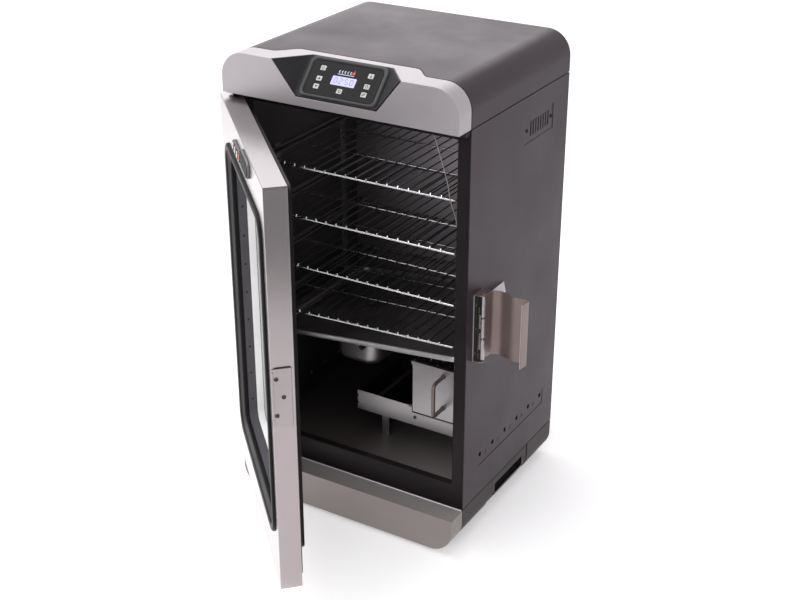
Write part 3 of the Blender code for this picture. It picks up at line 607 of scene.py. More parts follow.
def outward(points, reach=0.25):
    """The same planes, their tips pushed out past the surface so that a cut goes right through."""
    moved = []
    for a, b, c in (points[:3], points[3:]):
        a, b, c = Vector(a), Vector(b), Vector(c)
        moved += [a + (a - (b + c) / 2) * reach, b + (b - c) * reach, c + (c - b) * reach]
    return moved


def bezel_and_lid():
    shell = top_profile(HALF, SEAM_TOP + SEAM, TOP, CORNER)
    inside = top_profile(HALF - 2, SEAM_TOP + 2.3, TOP - 2, CORNER - 2)
    fascia = prism(shell, "y", FACE, -140.0)
    fascia = carve(fascia, prism(footprint(-SEAM), "z", 700, 900), "INTERSECT")
    fascia = carve(fascia, prism(inside, "y", FACE + 2, -100.0))
    piece("fascia_shell", carve(fascia, hull(outward(panel_corners(1.7)))),
          steel_x, stands_for="fascia", bevel=1.1, steps=3, sharp=28)

    lid = prism(shell, "y", FACE, BACK)
    lid = carve(lid, prism(footprint(SEAM), "z", 700, 900))
    under = top_profile(HALF - 2, SEAM_TOP - 20, TOP - 2, CORNER - 2)
    piece("lid_shell", carve(lid, prism(under, "y", FACE - 10, BACK - 2)),
          grey_coat, stands_for="lid", bevel=1.2, steps=3, sharp=28)


def seams():
    """Painted shade: dark strips behind the gaps between the outer sheets."""
    backing = ring(top_profile(HALF - 2.4, SEAM_TOP - 9, TOP - 2.4, CORNER - 2.4),
                   top_profile(HALF - 3.6, SEAM_TOP - 5, TOP - 3.6, CORNER - 3.6), "y", -190, -136)
    for side in (-1, 1):
        for depth, low, high in ((2.2, SEAM_TOP - 9, SEAM_TOP + 2),
                                 (2.4, SEAM_BASE - 5, SEAM_BASE + 6)):
            mirrored_box(side, HALF - depth, HALF - 1.4, FRONT + 3, BACK - 3, low, high, backing)
    piece("seam_backing", carve(backing, hull(outward(panel_corners(2.4)))), dark_hole)


def side_panels():
    for side, word in SIDES:
        panel = mirrored_box(side, HALF - SHEET, HALF, FRONT + 0.6, BACK - 1.5, SEAM_BASE + 0.6,
                             SEAM_TOP - SEAM)
        strip = mirrored_box(side, HALF - 0.7, HALF + 3, -121, 132, 133, 165)
        panel = carve(panel, strip)
        if side > 0:
            panel = carve(panel, box(HALF - 0.8, HALF + 3, 11, 117, 678, 722))
        holes = bmesh.new()
        for i in range(HOLES):
            y = HOLE_Y + i * HOLE_PITCH
            cylinder((side * HALF, y, HOLE_Z), 4.5, 8, "x", 16, holes)
            if i < HOLES - 1:
                spot = Vector((side * HALF, y + 20.7, HOLE_Z - 5))
                slot = box(-4, 4, -1.4, 1.4, -3.6, 3.6)
                slot.transform(Matrix.Translation(spot) @ Matrix.Rotation(-0.5, 4, "X"))
                merge(holes, slot)
        if side > 0:
            for i in range(VENT_SLOTS):
                y = VENT_Y + i * VENT_PITCH
                box(HALF - 3, HALF + 3, y, y + 4.0, VENT_LOW, VENT_HIGH, holes)
        panel = carve(panel, holes)
        name = "side_panel_" + word
        piece(name + "_sheet", panel, grey_coat, stands_for=name, bevel=0.45, sharp=30)


def side_wool():
    """The wool, with a dark duct through it behind the side vent and the air holes, as painted
    shade seen through them.
    """
    for side, word in SIDES:
        ducts = mirrored_box(side, WALL, HALF - 1.5, -123, 134, 138, 160)
        if side > 0:
            box(WALL, HALF - 1.5, 14, 114, 681, 719, ducts)
        node = nodes["insulation_" + word]
        fill = bmesh.new()
        fill.from_mesh(node.data)
        to_cabinet = CABINET.inverted() @ node.matrix_world
        fill.transform(Matrix.Diagonal((1000, 1000, 1000, 1)) @ to_cabinet)
        piece("wool_" + word, carve(fill, ducts.copy()), wool, stands_for="insulation_" + word)
        inner = mirrored_box(side, WALL + 0.6, HALF, -122.4, 133.4, 138.6, 159.4)
        if side > 0:
            box(WALL + 0.6, HALF, 14.6, 113.4, 681.6, 718.4, inner)
        # The duct is painted shade behind the holes
        piece("duct_" + word, carve(ducts, inner), dark_hole)


def side_vent():
    screws("vent_screws", [(HALF - 0.9, y, 700) for y in (18.5, 110.0)], (1, 0, 0), 3.4, dark_hole)
    louvres = bmesh.new()
    for i in range(VENT_SLOTS):
        middle = (HALF - 3.4, VENT_Y + i * VENT_PITCH + 3.0, (VENT_LOW + VENT_HIGH) / 2)
        fin = box(-0.3, 0.3, -3.2, 3.2, -12.5, 12.5)
        fin.transform(Matrix.Translation(middle) @ Matrix.Rotation(0.7, 4, "Z"))
        merge(louvres, fin)
    piece("vent_louvres", louvres, black_enamel)


def cabinet_back():
    rear = box(-HALF, HALF, BACK - SHEET, BACK, SEAM_BASE + 0.3, SEAM_TOP - SEAM)
    rear = carve(rear, box(126, 154, BACK - 10, BACK + 10, 98, 118))
    for z0, z1 in ((150, 420), (450, 720)):
        rear = carve(rear, prism(rounded(-165, 165, z0, z1, 14), "y", BACK - 0.6, BACK + 4))
    piece("back_sheet", rear, grey_coat, stands_for="back_panel", bevel=0.45, sharp=30)
    spots = [(x, BACK, z) for x in (-208, 208) for z in (95, 255, 435, 600, 745)]
    spots += [(x, BACK, 745) for x in (-70, 70)]
    screws("back_screws", spots, (0, 1, 0), 4.2, screw_steel)

    inlet = box(118, 162, BACK + 0.3, BACK + 9, 90, 126)
    inlet = carve(inlet, prism(rounded(127, 153, 99, 117, 3), "y", BACK + 3, BACK + 20))
    piece("power_inlet_shell", inlet, black_plastic, stands_for="power_inlet", bevel=0.9, steps=3)
    blades = bmesh.new()
    for x, z in ((133, 106), (147, 106), (140, 111.5)):
        box(x - 0.8, x + 0.8, BACK + 2.9, BACK + 8, z - 2.6, z + 2.6, blades)
    piece("inlet_blades", blades, screw_steel, bevel=0.25)
    screws("inlet_screws", [(x, BACK + 9, 108) for x in (122.3, 157.7)], (0, 1, 0), 2.6,
           screw_steel)


def front_jamb():
    rim = rounded(-HALF + 1.4, HALF - 1.4, SEAM_BASE + 0.3, SEAM_TOP - 0.3, 1.5, 3)
    mouth = rounded(-OPEN_X, OPEN_X, FLOOR + 1, CEILING, 5, 3)
    piece("front_jamb", ring(rim, mouth, "y", FRONT, FRONT + 2),
          black_enamel, stands_for="front_frame", bevel=0.6, steps=3, sharp=40)
    lip = bmesh.new()
    inner = rounded(-OPEN_X + 1.0, OPEN_X - 1.0, FLOOR + 2, CEILING - 1, 4, 3)
    ring(mouth, inner, "y", FRONT + 0.4, FRONT + 12, lip)
    piece("mouth_lip", lip, black_enamel, bevel=0.4, sharp=40)


# ---------------------------------------------------------------- base


def base_front():
    trim = prism(base_profile(HALF, BASE_BOTTOM, 72.0, CORNER), "y", FACE, FRONT - 0.3)
    trim = carve(trim, prism(base_profile(HALF - 2, BASE_BOTTOM + 2, 70.0, CORNER - 2), "y",
                             FACE + 2, FRONT + 5))
    piece("base_trim_shell", trim, steel_trim, stands_for="base_trim", bevel=0.8, steps=3, sharp=28)
    # The ledge's cover carries painted light
    piece("base_trim_ledge", box(-HALF + 1.5, HALF - 1.5, FACE + 1.5, FRONT - 2.4, 71.8, 72.2),
          ledge_steel_painted_light, bevel=0.15)
    # The hem is a painted highlight along the trim's front edge
    piece("base_trim_hem", box(-HALF + 1.5, HALF - 1.5, FRONT - 2.2, FRONT - 0.5, 71.6, 73.2),
          pale_sheet_painted_highlight, bevel=0.4)
    piece("base_front_filler", box(-HALF + 3, HALF - 3, FRONT + 0.5, FRONT + 2.4, 55, SEAM_BASE),
          black_plastic, bevel=0.3)


def base_sides():
    arc = [math.radians(-90 * i / 18) for i in range(19)]
    for side, word in SIDES:
        cx, cz = HALF - 0.3 - CORNER, BASE_BOTTOM + CORNER

        def bend(radius):
            return [(cx + radius * math.cos(a), cz + radius * math.sin(a)) for a in arc]

        def section(shrink):
            top = SEAM_BASE - 1.4
            return ([(cx + CORNER - shrink, top)] + bend(CORNER - shrink)
                    + [(135, BASE_BOTTOM + shrink), (135, BASE_BOTTOM + 4)]
                    + bend(CORNER - 4)[::-1] + [(cx + CORNER - 4, top)])

        skirt = bmesh.new()
        # Front and rear foot blocks, with a slightly recessed middle that holds the hand-hold
        blocks = ((FRONT + 1.6, -80.6, 0.0), (-78.4, 75.4, 1.2), (77.6, BACK - 0.3, 0.0))
        for y0, y1, shrink in blocks:
            prism([(side * x, z) for x, z in section(shrink)], "y", y0, y1, skirt)
        prism([(side * x, z) for x, z in section(2.6)], "y", FRONT + 0.4, BACK - 2, skirt)
        grip = mirrored_box(side, 190, 230, -51, 57, 37, 56)
        skirt = carve(skirt, grip)
        piece("base_skirt_" + word, skirt, base_plastic, stands_for="base_" + word, bevel=0.7,
              steps=2, sharp=30)
        cup = mirrored_box(side, 186, HALF - 1.6, -55, 61, 33, 60)
        cup = carve(cup, mirrored_box(side, 188, HALF + 4, -51, 57, 37, 56))
        piece("hand_hold_cup_" + word, cup, black_plastic, bevel=0.6)
        pads = bmesh.new()
        for y in (-140, 140):
            rings = ((12.0, 0.0), (12.6, 1.4), (12.6, 3.0), (11.0, 5.4))
            lofted([(circle(side * 155, y, r, 28), z) for r, z in rings], "z", pads)
        piece("feet_" + word, pads, rubber, sharp=50)


def base_rear():
    rear = prism(base_profile(HALF - 3.6, BASE_BOTTOM + 3.3, SEAM_BASE - 0.8, CORNER - 3.3), "y",
                 BACK - 3.3, BACK - 0.3)
    rear = carve(rear, prism(rounded(-76.5, 76.5, 18, 58, 3), "y", BACK - 10, BACK + 10))
    piece("base_rear_wall", rear, base_plastic, stands_for="base_back", bevel=0.8, steps=3)


def grease_tray():
    tray = prism(rounded(-70, 70, 60, BACK + 0.5, 9), "z", 22, 55)
    tray = carve(tray, prism(rounded(-75.5, 75.5, 60, BACK - 1, 10), "z", 53.6, 55), "UNION")
    tray = carve(tray, prism(rounded(-75, 75, 19, 57, 5), "y", BACK + 0.2, BACK + 2.2), "UNION")
    tray = carve(tray, prism(rounded(-68.8, 68.8, 61.2, BACK - 0.8, 8), "z", 23.2, 90))
    piece("grease_drawer", tray, sheet_steel, "grease_tray_body", "grease_tray", 0.5)
    path = [(-30, BACK + 2.0, 30), (-30, BACK + 2.6, 34), (30, BACK + 2.6, 34),
            (30, BACK + 2.0, 30)]
    piece("grease_drawer_bead", rod(bmesh.new(), round_path(path, 1.5), 1.2, 10),
          sheet_steel, "grease_tray_body")


# ---------------------------------------------------------------- chamber

RACK_PITCH, RACK_X, RACK_Y0, RACK_Y1 = 20.0, 188.0, -160.0, 146.0
RACKS = [(633.6, 0.0), (542.4, 0.0), (450.8, 0.0), (367.4, 2.3)]
TRAY_Z, TRAY_TILT = 334.0, 5.4


def leaning(z, degrees):
    """Turns a piece about a front-to-back line through the cabinet's centre at height z."""
    spot = Vector((0, 0, z * MM))
    turn = Matrix.Rotation(-math.radians(degrees), 4, "Y")
    return Matrix.Translation(spot) @ turn @ Matrix.Translation(-spot)


def racks():
    rods = [RACK_PITCH * k for k in range(-8, 9)]
    for number, (z, degrees) in enumerate(RACKS, 1):
        bars, bright = bmesh.new(), bmesh.new()
        for x in rods:
            # Painted shade: the long rods are in dark wire for the dark chamber they reflect, their
            # front ends in bright wire for the light they catch
            rod(bars, [(x, RACK_Y0 - 0.6, z + 1.2), (x, RACK_Y1, z + 1.2)], 1.25, 10)
            rod(bright, [(x, RACK_Y0 - 1.6, z - 0.4), (x, RACK_Y0 - 0.4, z + 3.6)], 1.3, 10)
        piece("rack_%d_rods" % number, bars, side_wire, stands_for="rack_%d" % number,
              place=leaning(z, degrees))
        for row, y in enumerate((RACK_Y0, RACK_Y0 + 102, RACK_Y0 + 204, RACK_Y1)):
            half = RACK_X - 3
            rod(bright, [(-half, y, z - 1.2), (half, y, z - 1.2)], 1.9 if row == 0 else 1.4, 12)
        piece("rack_%d_crossbars" % number, bright, chrome, place=leaning(z, degrees))
        edge = bmesh.new()
        for x in (-RACK_X + 1.5, RACK_X - 1.5):
            path = round_path([(x, RACK_Y0 + 2.4, z - 0.4), (x, RACK_Y1, z - 0.4),
                               (x, RACK_Y1, z + 9)], 4)
            rod(edge, path, 1.9, 10)
        piece("rack_%d_sides" % number, edge, side_wire, place=leaning(z, degrees))


def rack_guides():
    for side, word in SIDES:
        levels = [z + side * 190 * math.tan(math.radians(d)) - 3.2 for z, d in RACKS]
        levels.append(TRAY_Z + side * 185.5 * math.tan(math.radians(TRAY_TILT)) - 0.5)
        guide, tabs = bmesh.new(), bmesh.new()
        for y in (-102.5, 102.5):
            mirrored_box(side, 195.4, 196.8, y - 7.5, y + 7.5, min(levels) - 4, max(levels) + 12,
                         guide)
        for z in levels:
            # An angle ledge with its front end turned up as a stop
            mirrored_box(side, 184.5, 196.2, -140, 140, z - 1.6, z - 0.2, guide)
            mirrored_box(side, 194.8, 196.4, -140, 140, z - 1.6, z + 5, guide)
            mirrored_box(side, 192.6, 194.4, -146, -139, z - 1, z + 12, tabs)
        piece("rack_guide_%s_rails" % word, guide, guide_enamel, stands_for="rack_guide_" + word,
              bevel=0.5)
        piece("rack_stops_" + word, tabs, side_wire, bevel=0.6)
        spots = [(side * 195.3, y, z) for y in (-102.5, 102.5) for z in (400, 490, 590)]
        screws("guide_rivets_" + word, spots, (-side, 0, 0), 2.6, side_wire)


def tray_outline(inset):
    """The tray from above: it reaches further to the right, where its corners are tighter."""
    x0, x1, y0, y1 = -187 + inset, 191 - inset, -156 + inset, 145 - inset
    tight, wide = max(3.0, 11 - inset), max(6.0, 27 - inset)
    return rounded_corners(((x1 - tight, y0 + tight, tight, -90),
                            (x1 - tight, y1 - tight, tight, 0),
                            (x0 + wide, y1 - wide, wide, 90),
                            (x0 + wide, y0 + wide, wide, 180)), 10)


def drip_tray():
    z = TRAY_Z
    middle = rounded(-30, 30, -35.5, 24.5, 24, 10)
    section = [(0.5, -8.0), (0.0, -7.4), (0.0, -0.2), (0.7, 0.9), (2.4, 1.4), (4.4, 0.7),
               (5.6, -1.2), (7.5, -5.0), (11.0, -6.9)]
    under = [(1.6, -8.2), (2.0, -2.0), (4.6, -2.4), (6.6, -6.6), (10.6, -8.3)]
    tray = bmesh.new()
    upper = [loop_of(tray, tray_outline(inset), "z", z + lift) for inset, lift in section]
    upper.append(loop_of(tray, middle, "z", z - 8.2))
    lower = [loop_of(tray, tray_outline(inset), "z", z + lift) for inset, lift in under]
    lower.append(loop_of(tray, middle, "z", z - 9.6))
    for chain in (upper, [upper[0]] + lower):
        join_loops(tray, chain)
        tray.faces.new(chain[-1])
    tray = carve(tray, cylinder((-74, 0, z - 9), 9, 12))
    piece("drip_tray_pan", tray, tray_steel, stands_for="drip_tray", sharp=50,
          place=leaning(TRAY_Z, TRAY_TILT))


def water_pan():
    x0, x1, y0, y1, z0, z1 = cad("water_pan")
    brim = rounded(x0 - 3, x1 + 3, y0 - 3, y1 + 3, 30)
    outer = [(brim, z1), (brim, z1 - 1.2),
             (rounded(x0 + 0.5, x1 - 0.5, y0 + 0.5, y1 - 0.5, 27), z1 - 1.6)]
    for i in range(7):
        a = math.radians(90 * i / 6)
        inset = 1.5 + 14 * (1 - math.cos(a))
        outer.append((rounded(x0 + inset, x1 - inset, y0 + inset, y1 - inset, 27 - 0.8 * inset),
                      z0 + 15 - 15 * math.sin(a)))
    inner = []
    for outline, level in reversed(outer[2:]):
        cx, cy = (x0 + x1) / 2, (y0 + y1) / 2
        inner.append(([(cx + (x - cx) * 0.975, cy + (y - cy) * 0.975) for x, y in outline],
                      level + 1.3))
    pan = bmesh.new()
    loops = [loop_of(pan, outline, "z", level) for outline, level in outer]
    loops_in = [loop_of(pan, outline, "z", level) for outline, level in inner]
    join_loops(pan, loops)
    join_loops(pan, loops_in)
    bridge(pan, loops[0], loops_in[-1])
    pan.faces.new(loops[-1])
    pan.faces.new(loops_in[0])
    piece("water_pan_drawn", pan, sheet_steel, stands_for="water_pan", sharp=50)
    # Painted shade: a dark mark for the keyhole opening
    mark = prism([(0, -6.5), (10, 2), (1, 6), (-9, -2)], "y", y0 - 0.7, y0 + 1.8)
    bmesh.ops.translate(mark, verts=mark.verts, vec=(-58.0, 0, 261.5))
    piece("water_pan_keyhole", mark, dark_hole, bevel=0.3)


def heater():
    x0, x1, y0, y1, z0, z1 = -43.5, 190.0, -97.5, 62.0, 158.5, 197.0
    front = prism([(x0, z0), (x1, z0), (x1, 184), (71, 184), (70.6, 186), (70.6, z1), (x0, z1),
                   (x0, z1 - 8), (x0 + 3, z1 - 11), (x0, z1 - 14), (x0, z0 + 16), (x0 + 3, z0 + 13),
                   (x0, z0 + 10)], "y", y0, y0 + 1.5)
    piece("heater_tray_front", front, sheet_steel, stands_for="heater_tray", bevel=0.45, sharp=40)
    body = box(x0 + 0.5, x1 - 0.5, y0 + 1.6, y1, z0 + 0.6, z1 - 6)
    body = carve(body, box(x0 + 2, x1 - 2, y0, y1 - 1.5, z0 + 2.1, z1 + 5))
    body = carve(body, box(71, x1 + 5, y0 - 5, y1 + 5, 184, 220))
    piece("heater_tray_body", carve(body, box(-28, 38, 55, 70, 163, 210)),
          black_enamel, bevel=0.4, sharp=40)
    legs = bmesh.new()
    for x in (14.5, 172):
        for y in (-90.5, 50):
            leg = box(x - 7, x + 7, y - 5, y + 5, FLOOR + 0.4, z0 + 0.5)
            leg = carve(leg, box(x - 5, x + 8, y - 3.5, y + 8, FLOOR + 2, z0 + 5))
            merge(legs, leg)
    piece("heater_legs", legs, sheet_steel, bevel=0.4, sharp=40)
    screws("heater_screws", [(77.2, y0, 175.2)], (0, -1, 0), 3.2, dark_screw)
    piece("heater_clip", box(64, 70, y0 - 0.8, y0 + 4, 194.5, 199.5), dark_screw, bevel=0.7)
    loop = [(-20, 149, 171), (-20, -75, 171), (160, -75, 171), (160, 40, 171), (30, 40, 171),
            (30, 149, 171)]
    piece("heater_coil", rod(bmesh.new(), round_path(loop, 18, 10), 4.0, 16),
          element, stands_for="heating_element")


def smoker_drawer():
    x0, x1, y0, y1, z0, z1 = 72.0, 187.0, -97.0, 55.0, 186.5, 288.0
    drawer = box(x0, x1, y0, y1, z0, z1)
    drawer = carve(drawer, box(x0 + 1.2, x1 - 1.2, y0 + 1.2, y1 - 1.2, z0 + 1.2, z1 + 5))
    vents = bmesh.new()
    for i in range(5):
        for j in range(3):
            cylinder((x0, -60 + 24 * i, 214 + 24 * j), 4, 6, "x", 14, vents)
    piece("smoker_drawer", carve(drawer, vents),
          sheet_steel, "smoker_box_body", "smoker_box", 0.5, 3, 30)
    face = box(x0 + 1.2, x1 + 1.5, y0 - 0.9, y0 - 0.1, z0 + 0.6, z1 + 0.4)
    face = carve(face, box(x0 - 1.5, x1 + 1.5, y0 - 2.0, y0 - 0.8, z1 - 6, z1 + 0.4), "UNION")
    face = carve(face, box(x0 - 1.5, x1 + 1.5, y0 - 2.0, y0 + 4, z1 - 0.5, z1 + 0.4), "UNION")
    piece("smoker_drawer_front", face, sheet_steel, "smoker_box_body", bevel=0.35, sharp=40)
    grip = [(134, y0 - 0.9, 274), (134, y0 - 36, 274), (134, y0 - 36, 211), (134, y0 - 0.9, 211)]
    bar = rod(bmesh.new(), round_path(grip, 9, 10), 3.4, 20)
    for z in (211, 274):
        cylinder((134, y0 - 1.5, z), 5.0, 1.2, "y", 24, bar)
    piece("drawer_handle_bar", bar, lever_steel, "smoker_box_body", "smoker_box_handle", sharp=50)
    screws("drawer_screws", [(125, y0 - 0.9, 283)], (0, -1, 0), 1.6, screw_steel, "smoker_box_body")


def probe():
    rings = ((2.0, 474.0), (2.0, 470), (1.5, 469), (1.5, 372), (1.1, 366), (0.25, 361.4))
    stem = lofted([(circle(PROBE_X, PROBE_Y, r, 16), z) for r, z in rings], "z")
    piece("meat_probe_stem", stem, chrome, stands_for="meat_probe")
    clip = bmesh.new()
    for z in (452, 398):
        path = [(PROBE_X + 3, PROBE_Y + 2, z), (PROBE_X - 2.1, PROBE_Y + 2, z),
                (PROBE_X - 2.1, PROBE_Y - 2, z), (PROBE_X + 2.2, PROBE_Y - 2, z)]
        rod(clip, round_path(path, 1.5, 4), 0.45, 8)
    piece("probe_clips", clip, chrome)


def probe_lead():
    lead = [(138.5, -150, 739), (148, -158, 722), (172, -165.5, 665), (180, PROBE_Y, 634),
            (192, PROBE_Y, 598), (193, PROBE_Y, 545), (PROBE_X, PROBE_Y, 476)]
    curve = bpy.data.curves.new("probe_lead_cord", "CURVE")
    curve.dimensions = "3D"
    curve.bevel_depth = 0.0010
    curve.bevel_resolution = 4
    curve.use_fill_caps = True
    line = smooth_line(lead, 6)
    spline = curve.splines.new("POLY")
    spline.points.add(len(line) - 1)
    for spot, co in zip(spline.points, line):
        spot.co = (*(co * MM), 1.0)
    curve.materials.append(braid)
    cord = bpy.data.objects.new("probe_lead_cord", curve)
    scene.collection.objects.link(cord)
    cord.matrix_world = CABINET
    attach(cord, "cabinet")
    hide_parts("probe_lead")


def smooth_line(points, steps):
    """Points along a Catmull-Rom curve through the given ones."""
    points = [Vector(p) for p in points]
    ends = [points[0] * 2 - points[1]] + points + [points[-1] * 2 - points[-2]]
    line = []
    for a, b, c, d in zip(ends, ends[1:], ends[2:], ends[3:]):
        for i in range(steps):
            t = i / steps
            line.append(0.5 * (2 * b + (c - a) * t + (2 * a - 5 * b + 4 * c - d) * t * t
                               + (3 * b - 3 * c + d - a) * t ** 3))
    line.append(points[-1])
    return line


# ---------------------------------------------------------------- controls

slope = Vector((0, PANEL_BACK - FACE, TOP - PANEL_LOW)).normalized()
normal = Vector((0, -slope.z, slope.y))
PANEL_BASE = Vector((0, FACE, PANEL_LOW))
PANEL = Matrix.Translation(PANEL_BASE * MM) @ Matrix(
    ((1, 0, 0), (0, slope.y, slope.z), (0, normal.y, normal.z))).transposed().to_4x4()
BUTTON_W, BUTTON_H = 10.0, 8.5
BUTTONS = {"button_power": (-44, 53.5), "button_temp_up": (-44, 35), "button_temp_down": (-44, 21),
           "button_set": (0, 19), "button_light": (44, 53), "button_timer": (44, 34.5),
           "button_probe": (44, 20.5)}
SEGMENTS = {"0": "abcdef", "2": "abged", "5": "afgcd", "8": "abcdefg"}
SEGMENT_SPOTS = {"a": (0, 1, 0), "b": (1, 0.5, 1), "c": (1, -0.5, 1), "d": (0, -1, 0),
                 "e": (-1, -0.5, 1), "f": (-1, 0.5, 1), "g": (0, 0, 0)}


def hoop(bm, x, y, radius, thick, start=0, end=360, z0=0.0, z1=0.2):
    """A flat arc, or a full flat hoop."""
    steps = max(6, int((end - start) / 20))
    full = end - start >= 360
    angles = [math.radians(start + (end - start) * i / steps)
              for i in range(steps + (0 if full else 1))]
    outer, inner = ([(x + r * math.cos(a), y + r * math.sin(a)) for a in angles]
                    for r in (radius + thick / 2, radius - thick / 2))
    if full:
        ring(outer, inner, "z", z0, z1, bm)
    else:
        prism(outer + inner[::-1], "z", z0, z1, bm)


def symbol(name, bm, x, y, z0, z1):
    """A plain picture for each button."""
    if name == "button_power":
        hoop(bm, x, y, 2.4, 1.0, 125, 415, z0, z1)
        box(x - 0.3, x + 0.3, y + 0.4, y + 2.6, z0, z1, bm)
    elif name in ("button_temp_up", "button_temp_down"):
        way = 1 if name.endswith("up") else -1
        prism([(x - 2.9, y - 1.8 * way), (x + 2.9, y - 1.8 * way), (x, y + 2.5 * way)], "z", z0, z1,
              bm)
    elif name == "button_set":
        hoop(bm, x, y + 0.6, 2.0, 1.0, 0, 360, z0, z1)
        box(x - 0.9, x + 0.9, y - 2.6, y - 1.6, z0, z1, bm)
    elif name == "button_light":
        hoop(bm, x, y - 1.0, 1.3, 1.2, 0, 360, z0, z1)
        box(x - 0.35, x + 0.35, y, y + 2.8, z0, z1, bm)
    elif name == "button_timer":
        hoop(bm, x, y, 2.4, 0.9, 0, 360, z0, z1)
        box(x - 0.25, x + 0.25, y - 0.2, y + 1.6, z0, z1, bm)
        box(x - 0.2, x + 1.3, y - 0.25, y + 0.25, z0, z1, bm)
    else:
        rod(bm, [(x - 2.8, y - 2.0, z1), (x + 2.6, y + 2.0, z1)], 0.6, 6)
        hoop(bm, x - 1.0, y + 1.1, 0.8, 0.4, 0, 360, z0, z1)


def button_outline(x, v, grow, radius):
    half_w, half_h = BUTTON_W / 2 + grow, BUTTON_H / 2 + grow
    return rounded(x - half_w, x + half_w, v - half_h, v + half_h, radius, 4)


def control_housing():
    housing = hull(panel_corners(1.4))
    spots = outward(panel_corners(0.0))
    recess = hull(spots)
    ends = [min(recess.verts, key=lambda vert: (vert.co - spot).length) for spot in spots]
    folds = [edge for edge in recess.edges
             if set(edge.verts) in ({ends[1], ends[2]}, {ends[4], ends[5]})]
    bmesh.ops.bevel(recess, geom=folds, offset=5.0, segments=4, affect="EDGES", profile=0.5)
    housing = carve(housing, recess)
    piece("control_housing_shell", housing, facet_plastic, stands_for="control_housing",
          bevel=0.4, steps=2, sharp=40)


def control_face():
    """The face, and the raised cushion round it."""
    x0, x1, v0, v1, radius = -64, 64, 7, 66, 7
    section = ((9.2, -0.6), (9.0, 0.8), (8.0, 2.3), (6.2, 3.2), (4.2, 3.4), (2.4, 2.9), (0.9, 1.9),
               (0.4, 0.9), (0.4, -0.2))
    rim = lofted([(rounded(x0 - grow, x1 + grow, v0 - grow * 0.66, v1 + grow * 0.72,
                           radius + grow * 0.6), lift) for grow, lift in section],
                 "z", capped=False)
    piece("control_rim", rim, housing_plastic, place=PANEL, sharp=70)

    face = prism(rounded(x0, x1, v0, v1, radius), "z", 0.3, 1.5)
    holes = bmesh.new()
    for x, v in BUTTONS.values():
        prism(button_outline(x, v, 0.4, 1.4), "z", -3, 5, holes)
    prism(rounded(-22.3, 22.3, 28.4, 44.6, 1.6, 4), "z", -3, 5, holes)
    face = carve(face, holes)
    piece("control_face_plate", face, face_gloss, stands_for="control_face", bevel=0.25,
          place=PANEL)


def display():
    piece("display_window", prism(rounded(-22, 22, 28.7, 44.3, 1.4, 4), "z", -0.7, 1.2),
          lcd, stands_for="display", bevel=0.3, place=PANEL)
    digits = bmesh.new()
    for spot, text in zip((-14.5, -5.5, 5.5, 14.5), "0250"):
        for mark in SEGMENTS[text]:
            sx, sy, upright = SEGMENT_SPOTS[mark]
            half = (0.45, 1.9) if upright else (1.9, 0.45)
            cx, cy = spot + sx * 2.5, 36.5 + sy * 4.4
            box(cx - half[0], cx + half[0], cy - half[1], cy + half[1], 1.2, 1.32, digits)
    for dy in (-2.0, 2.0):
        box(-0.5, 0.5, 36.5 + dy - 0.5, 36.5 + dy + 0.5, 1.2, 1.32, digits)
    piece("display_digits", digits, lcd_digit, place=PANEL)


def heat_symbol():
    """A generic mark above the display."""
    waves = bmesh.new()
    for x in (-13, -7.8, -2.6, 2.6, 7.8):
        path = [(x + 0.9 * math.sin(k * 1.05), 49.6 + k * 0.62, 1.6) for k in range(9)]
        rod(waves, path, 0.55, 6)
    rod(waves, [(-15, 47.6, 1.6), (15, 47.6, 1.6)], 0.55, 6)
    piece("heat_symbol", waves, pale_print, place=PANEL)
    flame = prism([(11.2, 49.6), (14.6, 49.6), (15.6, 52.4), (13.6, 58.2), (12.6, 54.6),
                   (10.6, 52.6)], "z", 1.4, 1.9)
    piece("heat_symbol_flame", flame, red_print, bevel=0.2, place=PANEL)


def buttons():
    for name, (x, v) in BUTTONS.items():
        body = name + "_body"
        # Its underside leaves room for the press
        cap = prism(button_outline(x, v, 0, 1.2), "z", 0.95, 1.9)
        piece(name + "_cap", cap, silver, body, name, 0.4, 3, place=PANEL)
        mark = bmesh.new()
        symbol(name, mark, x, v, 1.85, 2.02)
        piece(name + "_symbol", mark, glyph, body, place=PANEL)


# ---------------------------------------------------------------- latch


def folded(points, thick, radius=2.0):
    """Outline of a folded sheet that follows a path with rounded folds."""
    path = round_path([(x, y, 0) for x, y in points], radius, 5)
    left_side, right_side = [], []
    count = len(path)
    for i, here in enumerate(path):
        ahead = (path[min(i + 1, count - 1)] - path[max(i - 1, 0)]).normalized()
        across = Vector((-ahead.y, ahead.x, 0)) * thick / 2
        left_side.append(tuple((here + across).xy))
        right_side.append(tuple((here - across).xy))
    return left_side + right_side[::-1]


